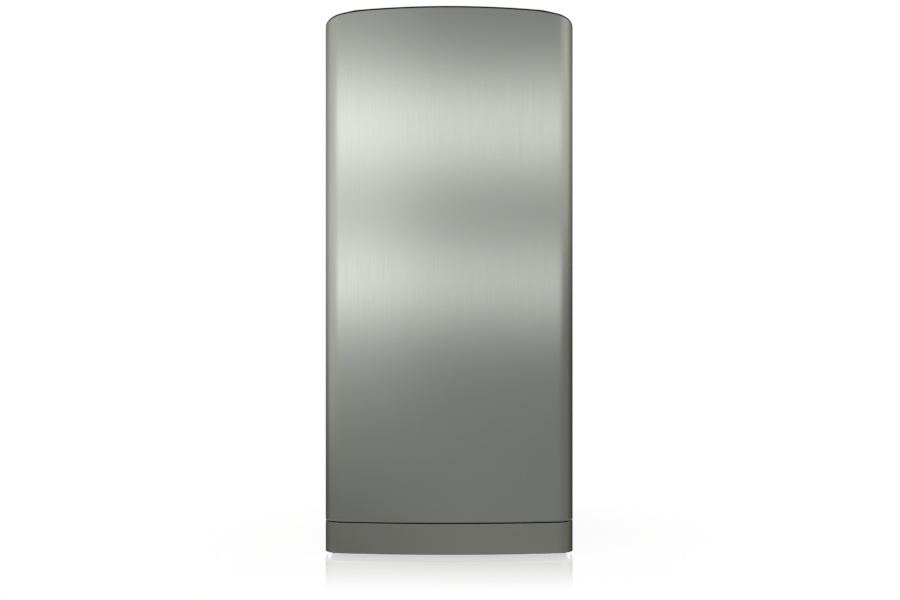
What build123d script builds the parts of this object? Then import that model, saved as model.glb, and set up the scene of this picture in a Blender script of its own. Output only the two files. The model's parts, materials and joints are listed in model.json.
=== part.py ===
from build123d import *
from math import cos, radians, sin, sqrt
import os

# A free-standing, bow-fronted, single-door fridge with an ice compartment inside.
# Millimetres, +Z up, the door faces -Y, origin on the floor under the middle of the overall box.

# Overall size
WIDTH = 550.0
DEPTH = 630.0
HEIGHT = 1208.0

# Bowed front, shared by the door and the plinth
BOW_RADIUS = 1500.0
BOW_CORNER = 45.0
DOOR_SIDE = 24.0
TOP_RAKE = 0.44
SHOULDER_WIDTH = 70.0
SHOULDER_FALL = 0.125

# Door shells
SKIN = 1.0
CAP_RIM = 3.0
CAP_PLUG = 8.0
CAP_CORNER = 52.0
CAP_SETBACK = 0.8
DOOR_LINER = 2.0
LEDGE_DROP = 4.0
DIKE_SIDE_GAP = 11.0
DIKE_WIDTH = 26.0
DIKE_REACH = 40.0
DIKE_BAR = 18.0
DIKE_MARGIN = 5.0
GASKET_GAP = 14.0
GASKET_CLEAR = 0.5
GASKET_WIDTH = 20.0
GASKET_EDGE = 22.0

# Finger grip in the free edge of the door
GRIP_BOTTOM = 600.0
GRIP_LENGTH = 220.0
GRIP_DEPTH = 22.0
GRIP_OPENING = 19.0
GRIP_WALL = 2.0

# Plinth and the gap under the door
PLINTH_BOTTOM = 8.0
PLINTH_TOP = 75.0
PLINTH_WALL = 2.5
PLINTH_SHELF_DROP = 10.0
CLIP_X = 90.0
CLIP_WIDTH = 30.0
DOOR_GAP = 3.0

# Cabinet
CASE = 1.0
HEM = 20.0
CABINET_DROP = 38.0
CASE_BOTTOM = 30.0
PAN_DROP = 1.0
CONDENSER_ROOM = 47.0
SIDE_WALL = 50.0
BACK_WALL = 55.0
CEILING_WALL = 60.0
FLOOR_WALL = 46.0
LINER = 2.0
LINER_CORNER = 20.0
MACHINE_DEPTH = 163.0
MACHINE_ROOM = 54.5
STEP_FRONT_WALL = 40.0
STEP_TOP_WALL = 35.0

# Shelves and the ledges that carry them
LEDGE_REACH = 9.0
LEDGE_HEIGHT = 6.0
LEDGE_FRONT = 64.0
LEDGE_BACK = 20.0
SHELF_COUNT = 2
SHELF_PITCH = 190.0
SHELF_DROP = 45.0
GLASS = 4.0
GLASS_SIDE_GAP = 2.0
SHELF_FRONT = 108.0
TRIM_HEIGHT = 14.0
TRIM_DEPTH = 9.0
TRIM_WALL = 2.0

# Ice compartment
FREEZER_SIDE_GAP = 20.0
FREEZER_HEIGHT = 180.0
FREEZER_DROP = 25.0
FREEZER_WALL = 3.0
FREEZER_FRONT = 106.0
FREEZER_BACK_GAP = 13.0
HANGER_RADIUS = 9.0
HANGER_INSET = 55.0
HANGER_END = 50.0
FRAME_BORDER = 7.0
FRAME_LAP = 12.0
FRAME_DEPTH = 10.0
FLAP_THICK = 5.0
FLAP_GAP = 0.6
FLAP_INSET = 2.0
FLAP_PIN = 3.0
FLAP_KNUCKLE = 5.5
FLAP_FIT = 0.06
FLAP_BORDER = 16.0
FLAP_RELIEF = 1.5

# Drawers
DRAWER_SIDE_GAP = 30.0
DRAWER_WALL = 2.5
DRAWER_FRONT = 106.0
DRAWER_CORNER = 14.0
CRISPER_TOP_GAP = 8.0
CRISPER_BACK_GAP = 6.0
FLOOR_CLEAR = 0.5
CHILLER_BACK_GAP = 36.0
CHILLER_TOP_GAP = 4.2
CHILLER_HEIGHT = 42.0
LIP_THICK = 3.0
LIP_SIDE_GAP = 3.0
RUN_CLEAR = 0.4
PULL_REACH = 10.0
PULL_WIDTH = 130.0
PULL_HEIGHT = 12.0

# Door bins and the egg shelf
BIN_SIDE_GAP = 2.0
BIN_WALL = 2.5
BIN_CORNER = 22.0
BIN_BOW = 4.0
EAR_LENGTH = 30.0
EAR_HEIGHT = 12.0
BOTTLE_BIN_RISE = 25.5
BOTTLE_BIN_HEIGHT = 154.5
BOTTLE_BIN_DEPTH = 96.0
BOTTLE_ROOM = 284.5
MIDDLE_BIN_HEIGHT = 90.0
MIDDLE_BIN_DEPTH = 92.0
UPPER_BIN_DROP = 265.0
UPPER_BIN_HEIGHT = 80.0
UPPER_BIN_DEPTH = 88.0
EGG_SHELF_DROP = 185.0
EGG_SHELF_HEIGHT = 48.0
EGG_SHELF_DEPTH = 62.0
EGG_PITCH = 50.0
EGG_CUP = 19.0
EGG_PLATE = 2.0
EGG_LIFT = 20.0
EGG_TAPER = 6.0
EGG_BORDER = 3.0
EGG_CLEAR = 1.0
EGG_END_CLEAR = 8.0

# Hinges
HINGE_INSET = 18.0
HINGE_SETBACK = 13.0
HINGE_PLATE = 4.0
HINGE_ARM = 8.0
HINGE_PIN = 5.0
HINGE_FIT = 0.05
HINGE_BUSH = 8.0
HINGE_BUSH_LENGTH = 20.0
PIN_LENGTH = 20.0
THRUST_GAP = 0.3
LEDGE_ROOM = 3.3
ARM_ANGLE = 130.0
HINGE_LEAF_LENGTH = 90.0
HINGE_LEAF_DEPTH = 46.0
COVER_WALL = 2.0
COVER_HEIGHT = 18.0
COVER_MARGIN = 5.0
SCREW_RADIUS = 4.0
SCREW_HEAD = 2.6

# Thermostat housing, lamp and door switch on the right-hand wall
HOUSING_DROP = 16.8
HOUSING_HEIGHT = 100.0
HOUSING_REACH = 40.0
HOUSING_FRONT = 125.0
HOUSING_LENGTH = 95.0
HOUSING_CORNER = 10.0
KNOB_RADIUS = 16.0
KNOB_DEPTH = 13.0
KNOB_RISE = 60.0
KNOB_GAP = 0.4
KNOB_HUB = 11.0
KNOB_HUB_DEPTH = 6.0
KNOB_FLUTES = 12
KNOB_FLUTE = 2.4
KNOB_SKIRT = 3.0
BUTTON_RADIUS = 6.0
BUTTON_FIT = 0.08
BUTTON_PROUD = 4.0
BUTTON_TRAVEL = 3.0
SPINDLE_DEPTH = 16.0
LAMP_LENGTH = 85.0
LAMP_WALL = 1.5
BULB_RADIUS = 12.5
BULB_LENGTH = 52.0
SWITCH_DROP = 70.0
SWITCH_HALF = 9.0
SWITCH_WALL = 3.0
SWITCH_LENGTH = 34.0
SWITCH_BACKSET = 34.0
PLUNGER_RADIUS = 4.0
PLUNGER_FIT = 0.08
PLUNGER_REST_GAP = 0.4

# Base frame, feet and rollers
RAIL_WEB = 2.0
RAIL_FLANGE = 30.0
RAIL_BOTTOM = 36.0
CROSSMEMBER_DEPTH = 48.0
FOOT_INSET = 60.0
FOOT_SETBACK = 24.0
FOOT_RADIUS = 19.0
FOOT_HEIGHT = 12.0
FOOT_SIDES = 12
FOOT_STEM = 5.0
FOOT_FIT = 0.06
FOOT_STEM_TOP = 58.0
FOOT_BUSH = 9.0
ROLLER_RADIUS = 15.0
ROLLER_WIDTH = 17.0
ROLLER_GAP = 1.0
ROLLER_REAR = 43.0
AXLE_RADIUS = 4.0
AXLE_FIT = 0.06

# Compressor and the cooling circuit
COMPRESSOR_X = -60.0
COMPRESSOR_LONG = 100.0
COMPRESSOR_SHORT = 70.0
COMPRESSOR_HEIGHT = 150.0
COMPRESSOR_ROUND = 40.0
SEAM_PROUD = 4.0
SEAM_HEIGHT = 5.0
BASE_PLATE = 3.0
GROMMET_RADIUS = 12.0
GROMMET_HEIGHT = 17.0
GROMMET_X = 80.0
GROMMET_Y = 48.0
PLATE = 2.5
DECK_LIP = 14.0
STUB_OFFSET = 85.0
STUB_RISE = 4.0
PIPE = 4.0
PIPE_BEND = 14.0
PIPE_RISE = 22.0
SUCTION_RISE = 108.0
TERMINAL_REACH = 30.0
TERMINAL_WIDTH = 60.0
TERMINAL_HEIGHT = 66.0
TRAY_LONG = 130.0
TRAY_SHORT = 100.0
TRAY_HEIGHT = 22.0
TRAY_WALL = 2.0
TRAY_CORNER = 16.0
DRAIN_RADIUS = 9.0
DRAIN_BORE = 7.0
DRAIN_DROP = 12.0
GLAND_RADIUS = 9.0
GLAND_BORE = 4.0
GLAND_LENGTH = 10.0

# Wire-on-tube condenser on the back
TUBE = 3.0
WIRE = 2.0
RUN_PITCH = 56.0
RUN_INSET = 80.0
RUN_RISE = 60.0
RUN_TOP_GAP = 40.0
BEND_STRAIGHT = 1.0
RISER_INSET = 29.0
RISER_RISE = 35.5
WIRES = 35
WIRE_INSET = 3.0
WIRE_TAIL = 16.0
BRACKET_WIDTH = 30.0
BRACKET_HEIGHT = 16.0
BRACKET_INSET = 45.0
DRIER_RADIUS = 9.5
DRIER_LENGTH = 90.0
DRIER_TAPER = 14.0
DRIER_DROP = 37.0

# Places of the shells, worked out from the sizes above
HALF = WIDTH / 2
FRONT = -DEPTH / 2
REAR = DEPTH / 2
TANGENT_Y = FRONT + BOW_RADIUS - sqrt((BOW_RADIUS - BOW_CORNER) ** 2 - (HALF - BOW_CORNER) ** 2)
DOOR_BACK = TANGENT_Y + DOOR_SIDE
DOOR_BOTTOM = PLINTH_TOP + DOOR_GAP
CABINET_FRONT = DOOR_BACK + GASKET_GAP
CABINET_TOP = HEIGHT - CABINET_DROP
LEDGE_Z = CABINET_TOP - LEDGE_DROP
CASE_REAR = REAR - CONDENSER_ROOM
CASE_HALF = HALF - CASE
PAN_Z = PLINTH_TOP - PAN_DROP
PAN_TOP = PAN_Z + CASE
CAVITY_HALF = HALF - SIDE_WALL
CAVITY_FLOOR = PAN_Z + FLOOR_WALL
CAVITY_TOP = CABINET_TOP - CEILING_WALL
CAVITY_BACK = CASE_REAR - BACK_WALL
PLINTH_SHELF = PAN_Z - HINGE_PLATE - PLINTH_SHELF_DROP
DIKE_INNER = CAVITY_HALF - DIKE_SIDE_GAP - DIKE_WIDTH
GASKET_OUTER = HALF - GASKET_EDGE

# Places of the base, machine space and condenser
RAIL_TOP = PAN_Z
RAIL_INNER = CASE_HALF - RAIL_FLANGE
FOOT_X = HALF - FOOT_INSET
DECK_Z = RAIL_BOTTOM + RAIL_WEB + PLATE
COMPRESSOR_BOTTOM = DECK_Z + GROMMET_HEIGHT + BASE_PLATE
COMPRESSOR_TOP = COMPRESSOR_BOTTOM + COMPRESSOR_HEIGHT
PIPE_LEVEL = COMPRESSOR_TOP + STUB_RISE + PIPE_RISE
MACHINE_FRONT = CASE_REAR - MACHINE_DEPTH
MACHINE_TOP = COMPRESSOR_TOP + MACHINE_ROOM
MACHINE_Y = (MACHINE_FRONT + CASE_REAR) / 2
STEP_FRONT = MACHINE_FRONT - STEP_FRONT_WALL
STEP_TOP = MACHINE_TOP + STEP_TOP_WALL
TUBE_Y = REAR - WIRE - TUBE
TUBE_END = PIPE_LEVEL + RISER_RISE
RISER_X = RISER_INSET - HALF
RUN_HALF = HALF - RUN_INSET
RUN_BOTTOM = TUBE_END + RUN_RISE
# An odd number of runs, so that the tube ends on the side away from its riser
RUNS = 2 * int((CABINET_TOP - RUN_TOP_GAP - RUN_BOTTOM) / RUN_PITCH / 2) + 1
DRIER_LEVEL = MACHINE_TOP - DRIER_DROP

# Places of the hinges
HINGE_X = HALF - HINGE_INSET
HINGE_Y = DOOR_BACK - HINGE_SETBACK
DOOR_LEDGE_Y = HINGE_Y - HINGE_ARM - LEDGE_ROOM

# Levels in the food space, from the ceiling down to the crisper
FREEZER_HALF = CAVITY_HALF - FREEZER_SIDE_GAP
FREEZER_TOP = CAVITY_TOP - FREEZER_DROP
FREEZER_BOTTOM = FREEZER_TOP - FREEZER_HEIGHT
DRAWER_HALF = CAVITY_HALF - DRAWER_SIDE_GAP
CHILLER_TOP = FREEZER_BOTTOM - FRAME_BORDER - CHILLER_TOP_GAP
CHILLER_LEVEL = CHILLER_TOP - LIP_THICK - RUN_CLEAR
HOUSING_BOTTOM = CHILLER_TOP - CHILLER_HEIGHT - HOUSING_DROP - HOUSING_HEIGHT
KNOB_LEVEL = HOUSING_BOTTOM + KNOB_RISE
UPPER_SHELF_LEVEL = HOUSING_BOTTOM - SHELF_DROP
SHELF_LEVELS = [UPPER_SHELF_LEVEL - index * SHELF_PITCH for index in range(SHELF_COUNT)]
SWITCH_LEVEL = UPPER_SHELF_LEVEL - SWITCH_DROP
CRISPER_COVER_LEVEL = STEP_TOP + LEDGE_HEIGHT
CRISPER_TOP = CRISPER_COVER_LEVEL - CRISPER_TOP_GAP

# Levels of the door bins, and how many eggs the shelf holds
BOTTLE_BIN_LEVEL = CAVITY_FLOOR + BOTTLE_BIN_RISE
MIDDLE_BIN_LEVEL = BOTTLE_BIN_LEVEL + BOTTLE_ROOM
EGG_SHELF_LEVEL = CAVITY_TOP - EGG_SHELF_DROP
UPPER_BIN_LEVEL = EGG_SHELF_LEVEL - UPPER_BIN_DROP
BIN_HALF = DIKE_INNER - BIN_SIDE_GAP
EGG_COUNT = int(2 * (BIN_HALF - BIN_WALL - EGG_END_CLEAR) / EGG_PITCH)


def block(x0, x1, y0, y1, z0, z1):
    """A box between two opposite corners."""
    middle = Pos((x0 + x1) / 2, (y0 + y1) / 2, (z0 + z1) / 2)
    return middle * Box(abs(x1 - x0), abs(y1 - y0), abs(z1 - z0))


def post(x, y, z0, z1, radius):
    """An upright round bar."""
    return Pos(x, y, (z0 + z1) / 2) * Cylinder(radius, abs(z1 - z0))


def rod_x(x0, x1, y, z, radius):
    """A round bar along X."""
    return Pos((x0 + x1) / 2, y, z) * Rot(0, 90, 0) * Cylinder(radius, abs(x1 - x0))


def rod_y(x, y0, y1, z, radius):
    """A round bar along Y."""
    return Pos(x, (y0 + y1) / 2, z) * Rot(90, 0, 0) * Cylinder(radius, abs(y1 - y0))


def across(points, x0, x1):
    """Side-view outline of (y, z) points, drawn out from x0 to x1."""
    outline = make_face(Polyline(*points, close=True))
    return extrude(Plane.YZ.offset(x0) * outline, x1 - x0)


def prism(face, z0, z1):
    """Plan outline drawn up from z0 to z1."""
    return extrude(Pos(0, 0, z0) * face, z1 - z0)


def ring_y(outer_half, inner_half, low, high, border, y0, y1):
    """Upright rectangular frame in the X-Z plane, from y0 to y1."""
    outside = block(-outer_half, outer_half, y0, y1, low, high)
    return outside - block(-inner_half, inner_half, y0, y1, low + border, high - border)


def other_side(shape):
    """The same piece on the opposite side of the middle plane."""
    return mirror(shape, about=Plane.YZ)


def pipe_run(points, radius, bend):
    """Round bar bent along straight runs joined by tangent arcs."""
    path = FilletPolyline(*points, radius=bend)
    section = Plane(origin=path @ 0, z_dir=path % 0) * Circle(radius)
    return sweep(section, path=path)


# Bowed plan shared by the door and plinth
def bowed_plan(inset, back_y, corner=BOW_CORNER):
    """Plan outline of the bowed front, drawn in by inset at the front and sides."""
    half = HALF - inset
    radius = BOW_RADIUS - inset
    crown = FRONT + inset
    shoulder = crown + radius - sqrt(radius**2 - half**2)
    bow = ThreePointArc((-half, shoulder), (0, crown), (half, shoulder))
    rest = Polyline((half, shoulder), (half, back_y), (-half, back_y), (-half, shoulder))
    face = make_face(bow + rest)
    return fillet(face.vertices().sort_by(Axis.Y)[:2], corner - inset)


def top_line(y):
    """Height of the raked top edge of the door at depth y."""
    return HEIGHT - TOP_RAKE * (y - FRONT)


def above_shoulder(drop):
    """All the space above the plane by which the top falls towards the right side, lowered by drop."""
    start = (HALF - SHOULDER_WIDTH, FRONT, HEIGHT - drop)
    slope = Plane(origin=start, z_dir=(SHOULDER_FALL, TOP_RAKE, 1))
    return slope * Pos(0, 0, WIDTH / 2) * Box(2 * WIDTH, 2 * WIDTH, WIDTH)


def above_top(drop):
    """All the space above the door's top surface, lowered by drop."""
    ahead = FRONT - DOOR_SIDE
    behind = CABINET_FRONT + DOOR_SIDE
    wall = DOOR_LEDGE_Y - drop
    sky = top_line(ahead) + DOOR_SIDE
    points = [
        (ahead, top_line(ahead) - drop),
        (wall, top_line(wall) - drop),
        (wall, LEDGE_Z - drop),
        (behind, LEDGE_Z - drop),
        (behind, sky),
        (ahead, sky),
    ]
    shoulder = above_shoulder(drop) & block(0, WIDTH, ahead, wall, 0, sky)
    return across(points, -WIDTH, WIDTH) + shoulder + other_side(shoulder)


# Door
def grip_space(margin=0.0):
    """The pocket for the fingers in the free edge of the door, grown by margin."""
    return block(
        -HALF - SKIN,
        -HALF + GRIP_DEPTH - GRIP_WALL + margin,
        DOOR_BACK - GRIP_OPENING + GRIP_WALL - margin,
        DOOR_BACK + SKIN,
        GRIP_BOTTOM + GRIP_WALL - margin,
        GRIP_BOTTOM + GRIP_LENGTH - GRIP_WALL + margin,
    )


def bush_hole(radius):
    """Bores through the door for both hinge bushes."""
    top = post(HINGE_X, HINGE_Y, LEDGE_Z - HINGE_BUSH_LENGTH, LEDGE_Z, radius)
    bottom = post(HINGE_X, HINGE_Y, DOOR_BOTTOM, DOOR_BOTTOM + HINGE_BUSH_LENGTH, radius)
    return top, bottom


def dike(inset):
    """The raised ring on the door's inner side, drawn in by inset."""
    outer = DIKE_INNER + DIKE_WIDTH - inset
    low = CAVITY_FLOOR + DIKE_MARGIN + inset
    high = CAVITY_TOP - DIKE_MARGIN - inset
    tip = DOOR_BACK + DIKE_REACH - inset
    bar = DIKE_BAR - 2 * inset
    return ring_y(outer, DIKE_INNER + inset, low, high, bar, DOOR_BACK - DOOR_LINER, tip)


def door_skin():
    """Pressed steel wrap: bowed front and both side edges, open at the back."""
    plan = bowed_plan(0, DOOR_BACK) - bowed_plan(SKIN, DOOR_BACK + DOOR_SIDE)
    wrap = prism(plan, DOOR_BOTTOM + CAP_RIM, HEIGHT)
    return wrap - above_top(CAP_RIM) - grip_space(GRIP_WALL)


def door_top_cap():
    """Moulded cap: a raked rim that sits on the steel edge, and a plug inside it."""
    floor = LEDGE_Z - CAP_RIM - CAP_PLUG
    lid = prism(bowed_plan(CAP_SETBACK, DOOR_BACK, CAP_CORNER), floor, HEIGHT)
    rim = (lid & above_top(CAP_RIM)) - above_top(0)
    core = prism(bowed_plan(SKIN, DOOR_BACK - DOOR_LINER), floor, HEIGHT)
    plug = (core & above_top(CAP_RIM + CAP_PLUG)) - above_top(CAP_RIM)
    return rim + plug - bush_hole(HINGE_BUSH)[0]


def door_bottom_cap():
    """Moulded cap under the door, with a plug inside the steel."""
    rim = prism(bowed_plan(0, DOOR_BACK), DOOR_BOTTOM, DOOR_BOTTOM + CAP_RIM)
    plug_top = DOOR_BOTTOM + CAP_RIM + CAP_PLUG
    plug = prism(bowed_plan(SKIN, DOOR_BACK - DOOR_LINER), DOOR_BOTTOM + CAP_RIM, plug_top)
    return rim + plug - bush_hole(HINGE_BUSH)[1]


def door_foam():
    """Foamed core between the steel, the caps and the inner liner."""
    low = DOOR_BOTTOM + CAP_RIM + CAP_PLUG
    core = prism(bowed_plan(SKIN, DOOR_BACK - DOOR_LINER), low, HEIGHT)
    core = core - above_top(CAP_RIM + CAP_PLUG) + dike(DOOR_LINER)
    return core - grip_space(GRIP_WALL) - bush_hole(HINGE_BUSH)[0] - bush_hole(HINGE_BUSH)[1]


def door_liner():
    """Vacuum-formed inner panel with the dike ring that carries the bins."""
    half = HALF - SKIN
    low = DOOR_BOTTOM + CAP_RIM
    high = LEDGE_Z - CAP_RIM
    panel = block(-half, half, DOOR_BACK - DOOR_LINER, DOOR_BACK, low, high)
    return panel + dike(0) - dike(DOOR_LINER) - grip_space(GRIP_WALL)


def door_gasket():
    """Magnetic seal: a base, a folded waist and a magnet strip, 0.5 clear of the cabinet."""
    lap = GASKET_OUTER - CAVITY_HALF
    low = CAVITY_FLOOR - lap
    high = CAVITY_TOP + lap
    depth = GASKET_GAP - GASKET_CLEAR
    folds = (0.0, depth * 0.35, depth * 0.65, depth)
    waist = GASKET_WIDTH / 5
    seal = None
    for index, tuck in enumerate((0.0, waist, 0.0)):
        layer = ring_y(
            GASKET_OUTER - tuck,
            GASKET_OUTER - GASKET_WIDTH + tuck,
            low + tuck,
            high - tuck,
            GASKET_WIDTH - 2 * tuck,
            DOOR_BACK + folds[index],
            DOOR_BACK + folds[index + 1],
        )
        seal = layer if seal is None else seal + layer
    return seal


def grip_insert():
    """Moulded lining of the finger pocket, open to the side and to the back."""
    shell = block(
        -HALF,
        -HALF + GRIP_DEPTH,
        DOOR_BACK - GRIP_OPENING,
        DOOR_BACK,
        GRIP_BOTTOM,
        GRIP_BOTTOM + GRIP_LENGTH,
    )
    return shell - grip_space()


def hinge_bushes():
    """Plain bushes in the top and bottom of the door."""
    bores = bush_hole(HINGE_PIN + HINGE_FIT)
    return [outer - bore for outer, bore in zip(bush_hole(HINGE_BUSH), bores)]


def bin_plan(inset, depth):
    """Plan of a door bin, with a bowed front."""
    half = BIN_HALF - inset
    back = DOOR_BACK + inset
    tip = DOOR_BACK + depth - inset
    front = ThreePointArc((-half, tip - BIN_BOW), (0, tip), (half, tip - BIN_BOW))
    rest = Polyline((half, tip - BIN_BOW), (half, back), (-half, back), (-half, tip - BIN_BOW))
    face = make_face(front + rest)
    return fillet(face.vertices().sort_by(Axis.Y)[2:], BIN_CORNER - inset)


def door_bin(level, height, depth):
    """Open bin that hangs between the dike's inner faces by an ear on each side."""
    outside = prism(bin_plan(0, depth), level, level + height)
    hollow = prism(bin_plan(BIN_WALL, depth), level + BIN_WALL, level + height)
    ear_top = level + height - BIN_WALL
    ear = block(BIN_HALF, DIKE_INNER, DOOR_BACK, DOOR_BACK + EAR_LENGTH, ear_top - EAR_HEIGHT, ear_top)
    return outside - hollow + ear + other_side(ear)


def egg_tray():
    """Plate of tapered cups that stands in the egg shelf."""
    floor = EGG_SHELF_LEVEL + BIN_WALL
    top = floor + EGG_LIFT
    reach = EGG_CUP + EGG_BORDER
    middle = DOOR_BACK + BIN_WALL + EGG_CLEAR + reach
    half = EGG_PITCH * EGG_COUNT / 2
    plate = block(-half, half, middle - reach, middle + reach, top - EGG_PLATE, top)
    for index in range(EGG_COUNT):
        place = Pos((index - (EGG_COUNT - 1) / 2) * EGG_PITCH, middle, (floor + top) / 2)
        plate = plate + place * Cone(EGG_CUP - EGG_TAPER, EGG_CUP + EGG_PLATE, EGG_LIFT)
        plate = plate - place * Cone(EGG_CUP - EGG_TAPER - EGG_PLATE, EGG_CUP, EGG_LIFT)
    return plate


# Cabinet shells
def cavity(grow):
    """The food space with its rear step, grown outwards by grow."""
    wide = 2 * (CAVITY_HALF + grow)
    tall = CAVITY_TOP - CAVITY_FLOOR + 2 * grow
    depth = CAVITY_BACK + grow - CABINET_FRONT
    mouth = extrude(RectangleRounded(wide, tall, LINER_CORNER + grow), depth)
    middle_z = (CAVITY_TOP + CAVITY_FLOOR) / 2
    space = Pos(0, CAVITY_BACK + grow, middle_z) * Rot(90, 0, 0) * mouth
    step = block(
        -HALF,
        HALF,
        STEP_FRONT + grow,
        CASE_REAR,
        CAVITY_FLOOR - FLOOR_WALL,
        STEP_TOP - grow,
    )
    return space - step


def wall_ledges():
    """Pairs of formed ledges on the side walls under each shelf and tray."""
    ledges = []
    front = CABINET_FRONT + LEDGE_FRONT
    back = CAVITY_BACK - LEDGE_BACK
    for level in (*SHELF_LEVELS, CRISPER_COVER_LEVEL, CHILLER_LEVEL):
        inner = CAVITY_HALF - LEDGE_REACH
        ledge = block(inner, CAVITY_HALF + LINER, front, back, level - LEDGE_HEIGHT, level)
        ledges += [ledge, other_side(ledge)]
    return ledges


def drain_hole(radius):
    """Way of the defrost water from the step down to the tray."""
    low = MACHINE_TOP - CASE - DRAIN_DROP
    return post(COMPRESSOR_X, MACHINE_Y, low, STEP_TOP, radius)


def case_side():
    """Right-hand painted steel side, hemmed at the mouth."""
    sheet = block(CASE_HALF, HALF, CABINET_FRONT, CASE_REAR, CASE_BOTTOM, CABINET_TOP)
    hem_back = CABINET_FRONT + LINER
    top = CABINET_TOP - CASE
    return sheet + block(CASE_HALF - HEM, CASE_HALF, CABINET_FRONT, hem_back, CASE_BOTTOM, top)


def case_top():
    """Painted steel top between the sides, hemmed at the mouth."""
    half = CASE_HALF - HEM
    under = CABINET_TOP - CASE
    sheet = block(-CASE_HALF, CASE_HALF, CABINET_FRONT, CASE_REAR, under, CABINET_TOP)
    return sheet + block(-half, half, CABINET_FRONT, CABINET_FRONT + LINER, under - HEM, under)


def cabinet_foam():
    """Foamed core of the cabinet, between the case and the liner."""
    front = CABINET_FRONT + LINER
    back = CASE_REAR - CASE
    top = CABINET_TOP - CASE
    outline = [
        (front, PAN_TOP),
        (MACHINE_FRONT, PAN_TOP),
        (MACHINE_FRONT, MACHINE_TOP),
        (back, MACHINE_TOP),
        (back, top),
        (front, top),
    ]
    return across(outline, -CASE_HALF, CASE_HALF) - cavity(LINER) - drain_hole(DRAIN_RADIUS)


def inner_liner():
    """Vacuum-formed liner with its front flange and shelf ledges."""
    half = CASE_HALF - HEM
    top = CABINET_TOP - CASE - HEM
    flange = block(-half, half, CABINET_FRONT, CABINET_FRONT + LINER, PAN_TOP, top)
    shell = flange + cavity(LINER) - cavity(0)
    for ledge in wall_ledges():
        shell = shell + ledge
    return shell - drain_hole(DRAIN_RADIUS)


def back_panel():
    """Flat steel back above the machine space."""
    return block(-CASE_HALF, CASE_HALF, CASE_REAR - CASE, CASE_REAR, MACHINE_TOP, CABINET_TOP - CASE)


def bottom_pan():
    """Bent sheet under the foam, stepped up over the machine space."""
    front = CABINET_FRONT + LINER
    outline = [
        (front, PAN_Z),
        (MACHINE_FRONT + CASE, PAN_Z),
        (MACHINE_FRONT + CASE, MACHINE_TOP - CASE),
        (CASE_REAR, MACHINE_TOP - CASE),
        (CASE_REAR, MACHINE_TOP),
        (MACHINE_FRONT, MACHINE_TOP),
        (MACHINE_FRONT, PAN_TOP),
        (front, PAN_TOP),
    ]
    return across(outline, -CASE_HALF, CASE_HALF) - drain_hole(DRAIN_RADIUS)


# Base frame
def roller_cheeks():
    """X places of the two cheeks that hold one roller."""
    inner = RAIL_INNER + RAIL_WEB
    return inner, inner + RAIL_WEB + 2 * ROLLER_GAP + ROLLER_WIDTH


def base_rail():
    """Right-hand side rail: web, flange and the two cheeks of the roller."""
    front = CABINET_FRONT + LINER
    flange_top = RAIL_BOTTOM + RAIL_WEB
    web = block(CASE_HALF - RAIL_WEB, CASE_HALF, front, CASE_REAR, RAIL_BOTTOM, RAIL_TOP)
    flange = block(RAIL_INNER, CASE_HALF, front, CASE_REAR, RAIL_BOTTOM, flange_top)
    rail = web + flange
    axle_y = CASE_REAR - ROLLER_REAR
    for cheek_x in roller_cheeks():
        ear = block(
            cheek_x,
            cheek_x + RAIL_WEB,
            axle_y - ROLLER_RADIUS,
            axle_y + ROLLER_RADIUS,
            ROLLER_RADIUS - 2 * AXLE_RADIUS,
            RAIL_BOTTOM,
        )
        rail = rail + ear
    return rail - roller_axle()


def roller_axle():
    """Right-hand roller pin, through both cheeks."""
    inner, outer = roller_cheeks()
    ends = (inner - RAIL_WEB, outer + 2 * RAIL_WEB)
    return rod_x(ends[0], ends[1], CASE_REAR - ROLLER_REAR, ROLLER_RADIUS, AXLE_RADIUS)


def roller():
    """Right-hand rear roller with a grooved tread."""
    start = roller_cheeks()[0] + RAIL_WEB + ROLLER_GAP
    end = start + ROLLER_WIDTH
    axle_y = CASE_REAR - ROLLER_REAR
    tread = rod_x(start, end, axle_y, ROLLER_RADIUS, ROLLER_RADIUS)
    tread = chamfer(tread.edges().filter_by(GeomType.CIRCLE), RAIL_WEB)
    return tread - rod_x(start, end, axle_y, ROLLER_RADIUS, AXLE_RADIUS + AXLE_FIT)


def front_crossmember():
    """Front channel with a threaded bush over each foot."""
    back = CABINET_FRONT + CROSSMEMBER_DEPTH
    flange_top = RAIL_BOTTOM + RAIL_WEB
    half = RAIL_INNER
    web = block(-half, half, CABINET_FRONT, CABINET_FRONT + RAIL_WEB, RAIL_BOTTOM, RAIL_TOP)
    lower = block(-half, half, CABINET_FRONT, back, RAIL_BOTTOM, flange_top)
    upper = block(-half, half, CABINET_FRONT, back, RAIL_TOP - RAIL_WEB, RAIL_TOP)
    channel = web + lower + upper
    foot_y = CABINET_FRONT + FOOT_SETBACK
    for foot_x in (-FOOT_X, FOOT_X):
        channel = channel + post(foot_x, foot_y, flange_top, FOOT_STEM_TOP, FOOT_BUSH)
        channel = channel - post(foot_x, foot_y, RAIL_BOTTOM, FOOT_STEM_TOP, FOOT_STEM + FOOT_FIT)
    return channel


def foot():
    """Right-hand levelling foot: twelve-sided base and a threaded stem."""
    base = extrude(RegularPolygon(FOOT_RADIUS, FOOT_SIDES), FOOT_HEIGHT)
    base = chamfer(base.faces().sort_by(Axis.Z)[-1].edges(), RAIL_WEB)
    stem = post(0, 0, FOOT_HEIGHT, FOOT_STEM_TOP - FOOT_STEM, FOOT_STEM)
    return Pos(FOOT_X, CABINET_FRONT + FOOT_SETBACK, 0) * (base + stem)


def compressor_plate():
    """Deck across the rails, with stiffening lips front and back."""
    low = RAIL_BOTTOM + RAIL_WEB
    half = CASE_HALF - RAIL_WEB
    front = MACHINE_FRONT + CASE
    deck = block(-half, half, front, CASE_REAR, low, low + PLATE)
    lip = block(-half, half, front, front + PLATE, low, low + DECK_LIP)
    return deck + lip + block(-half, half, CASE_REAR - PLATE, CASE_REAR, low, low + DECK_LIP)


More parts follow.
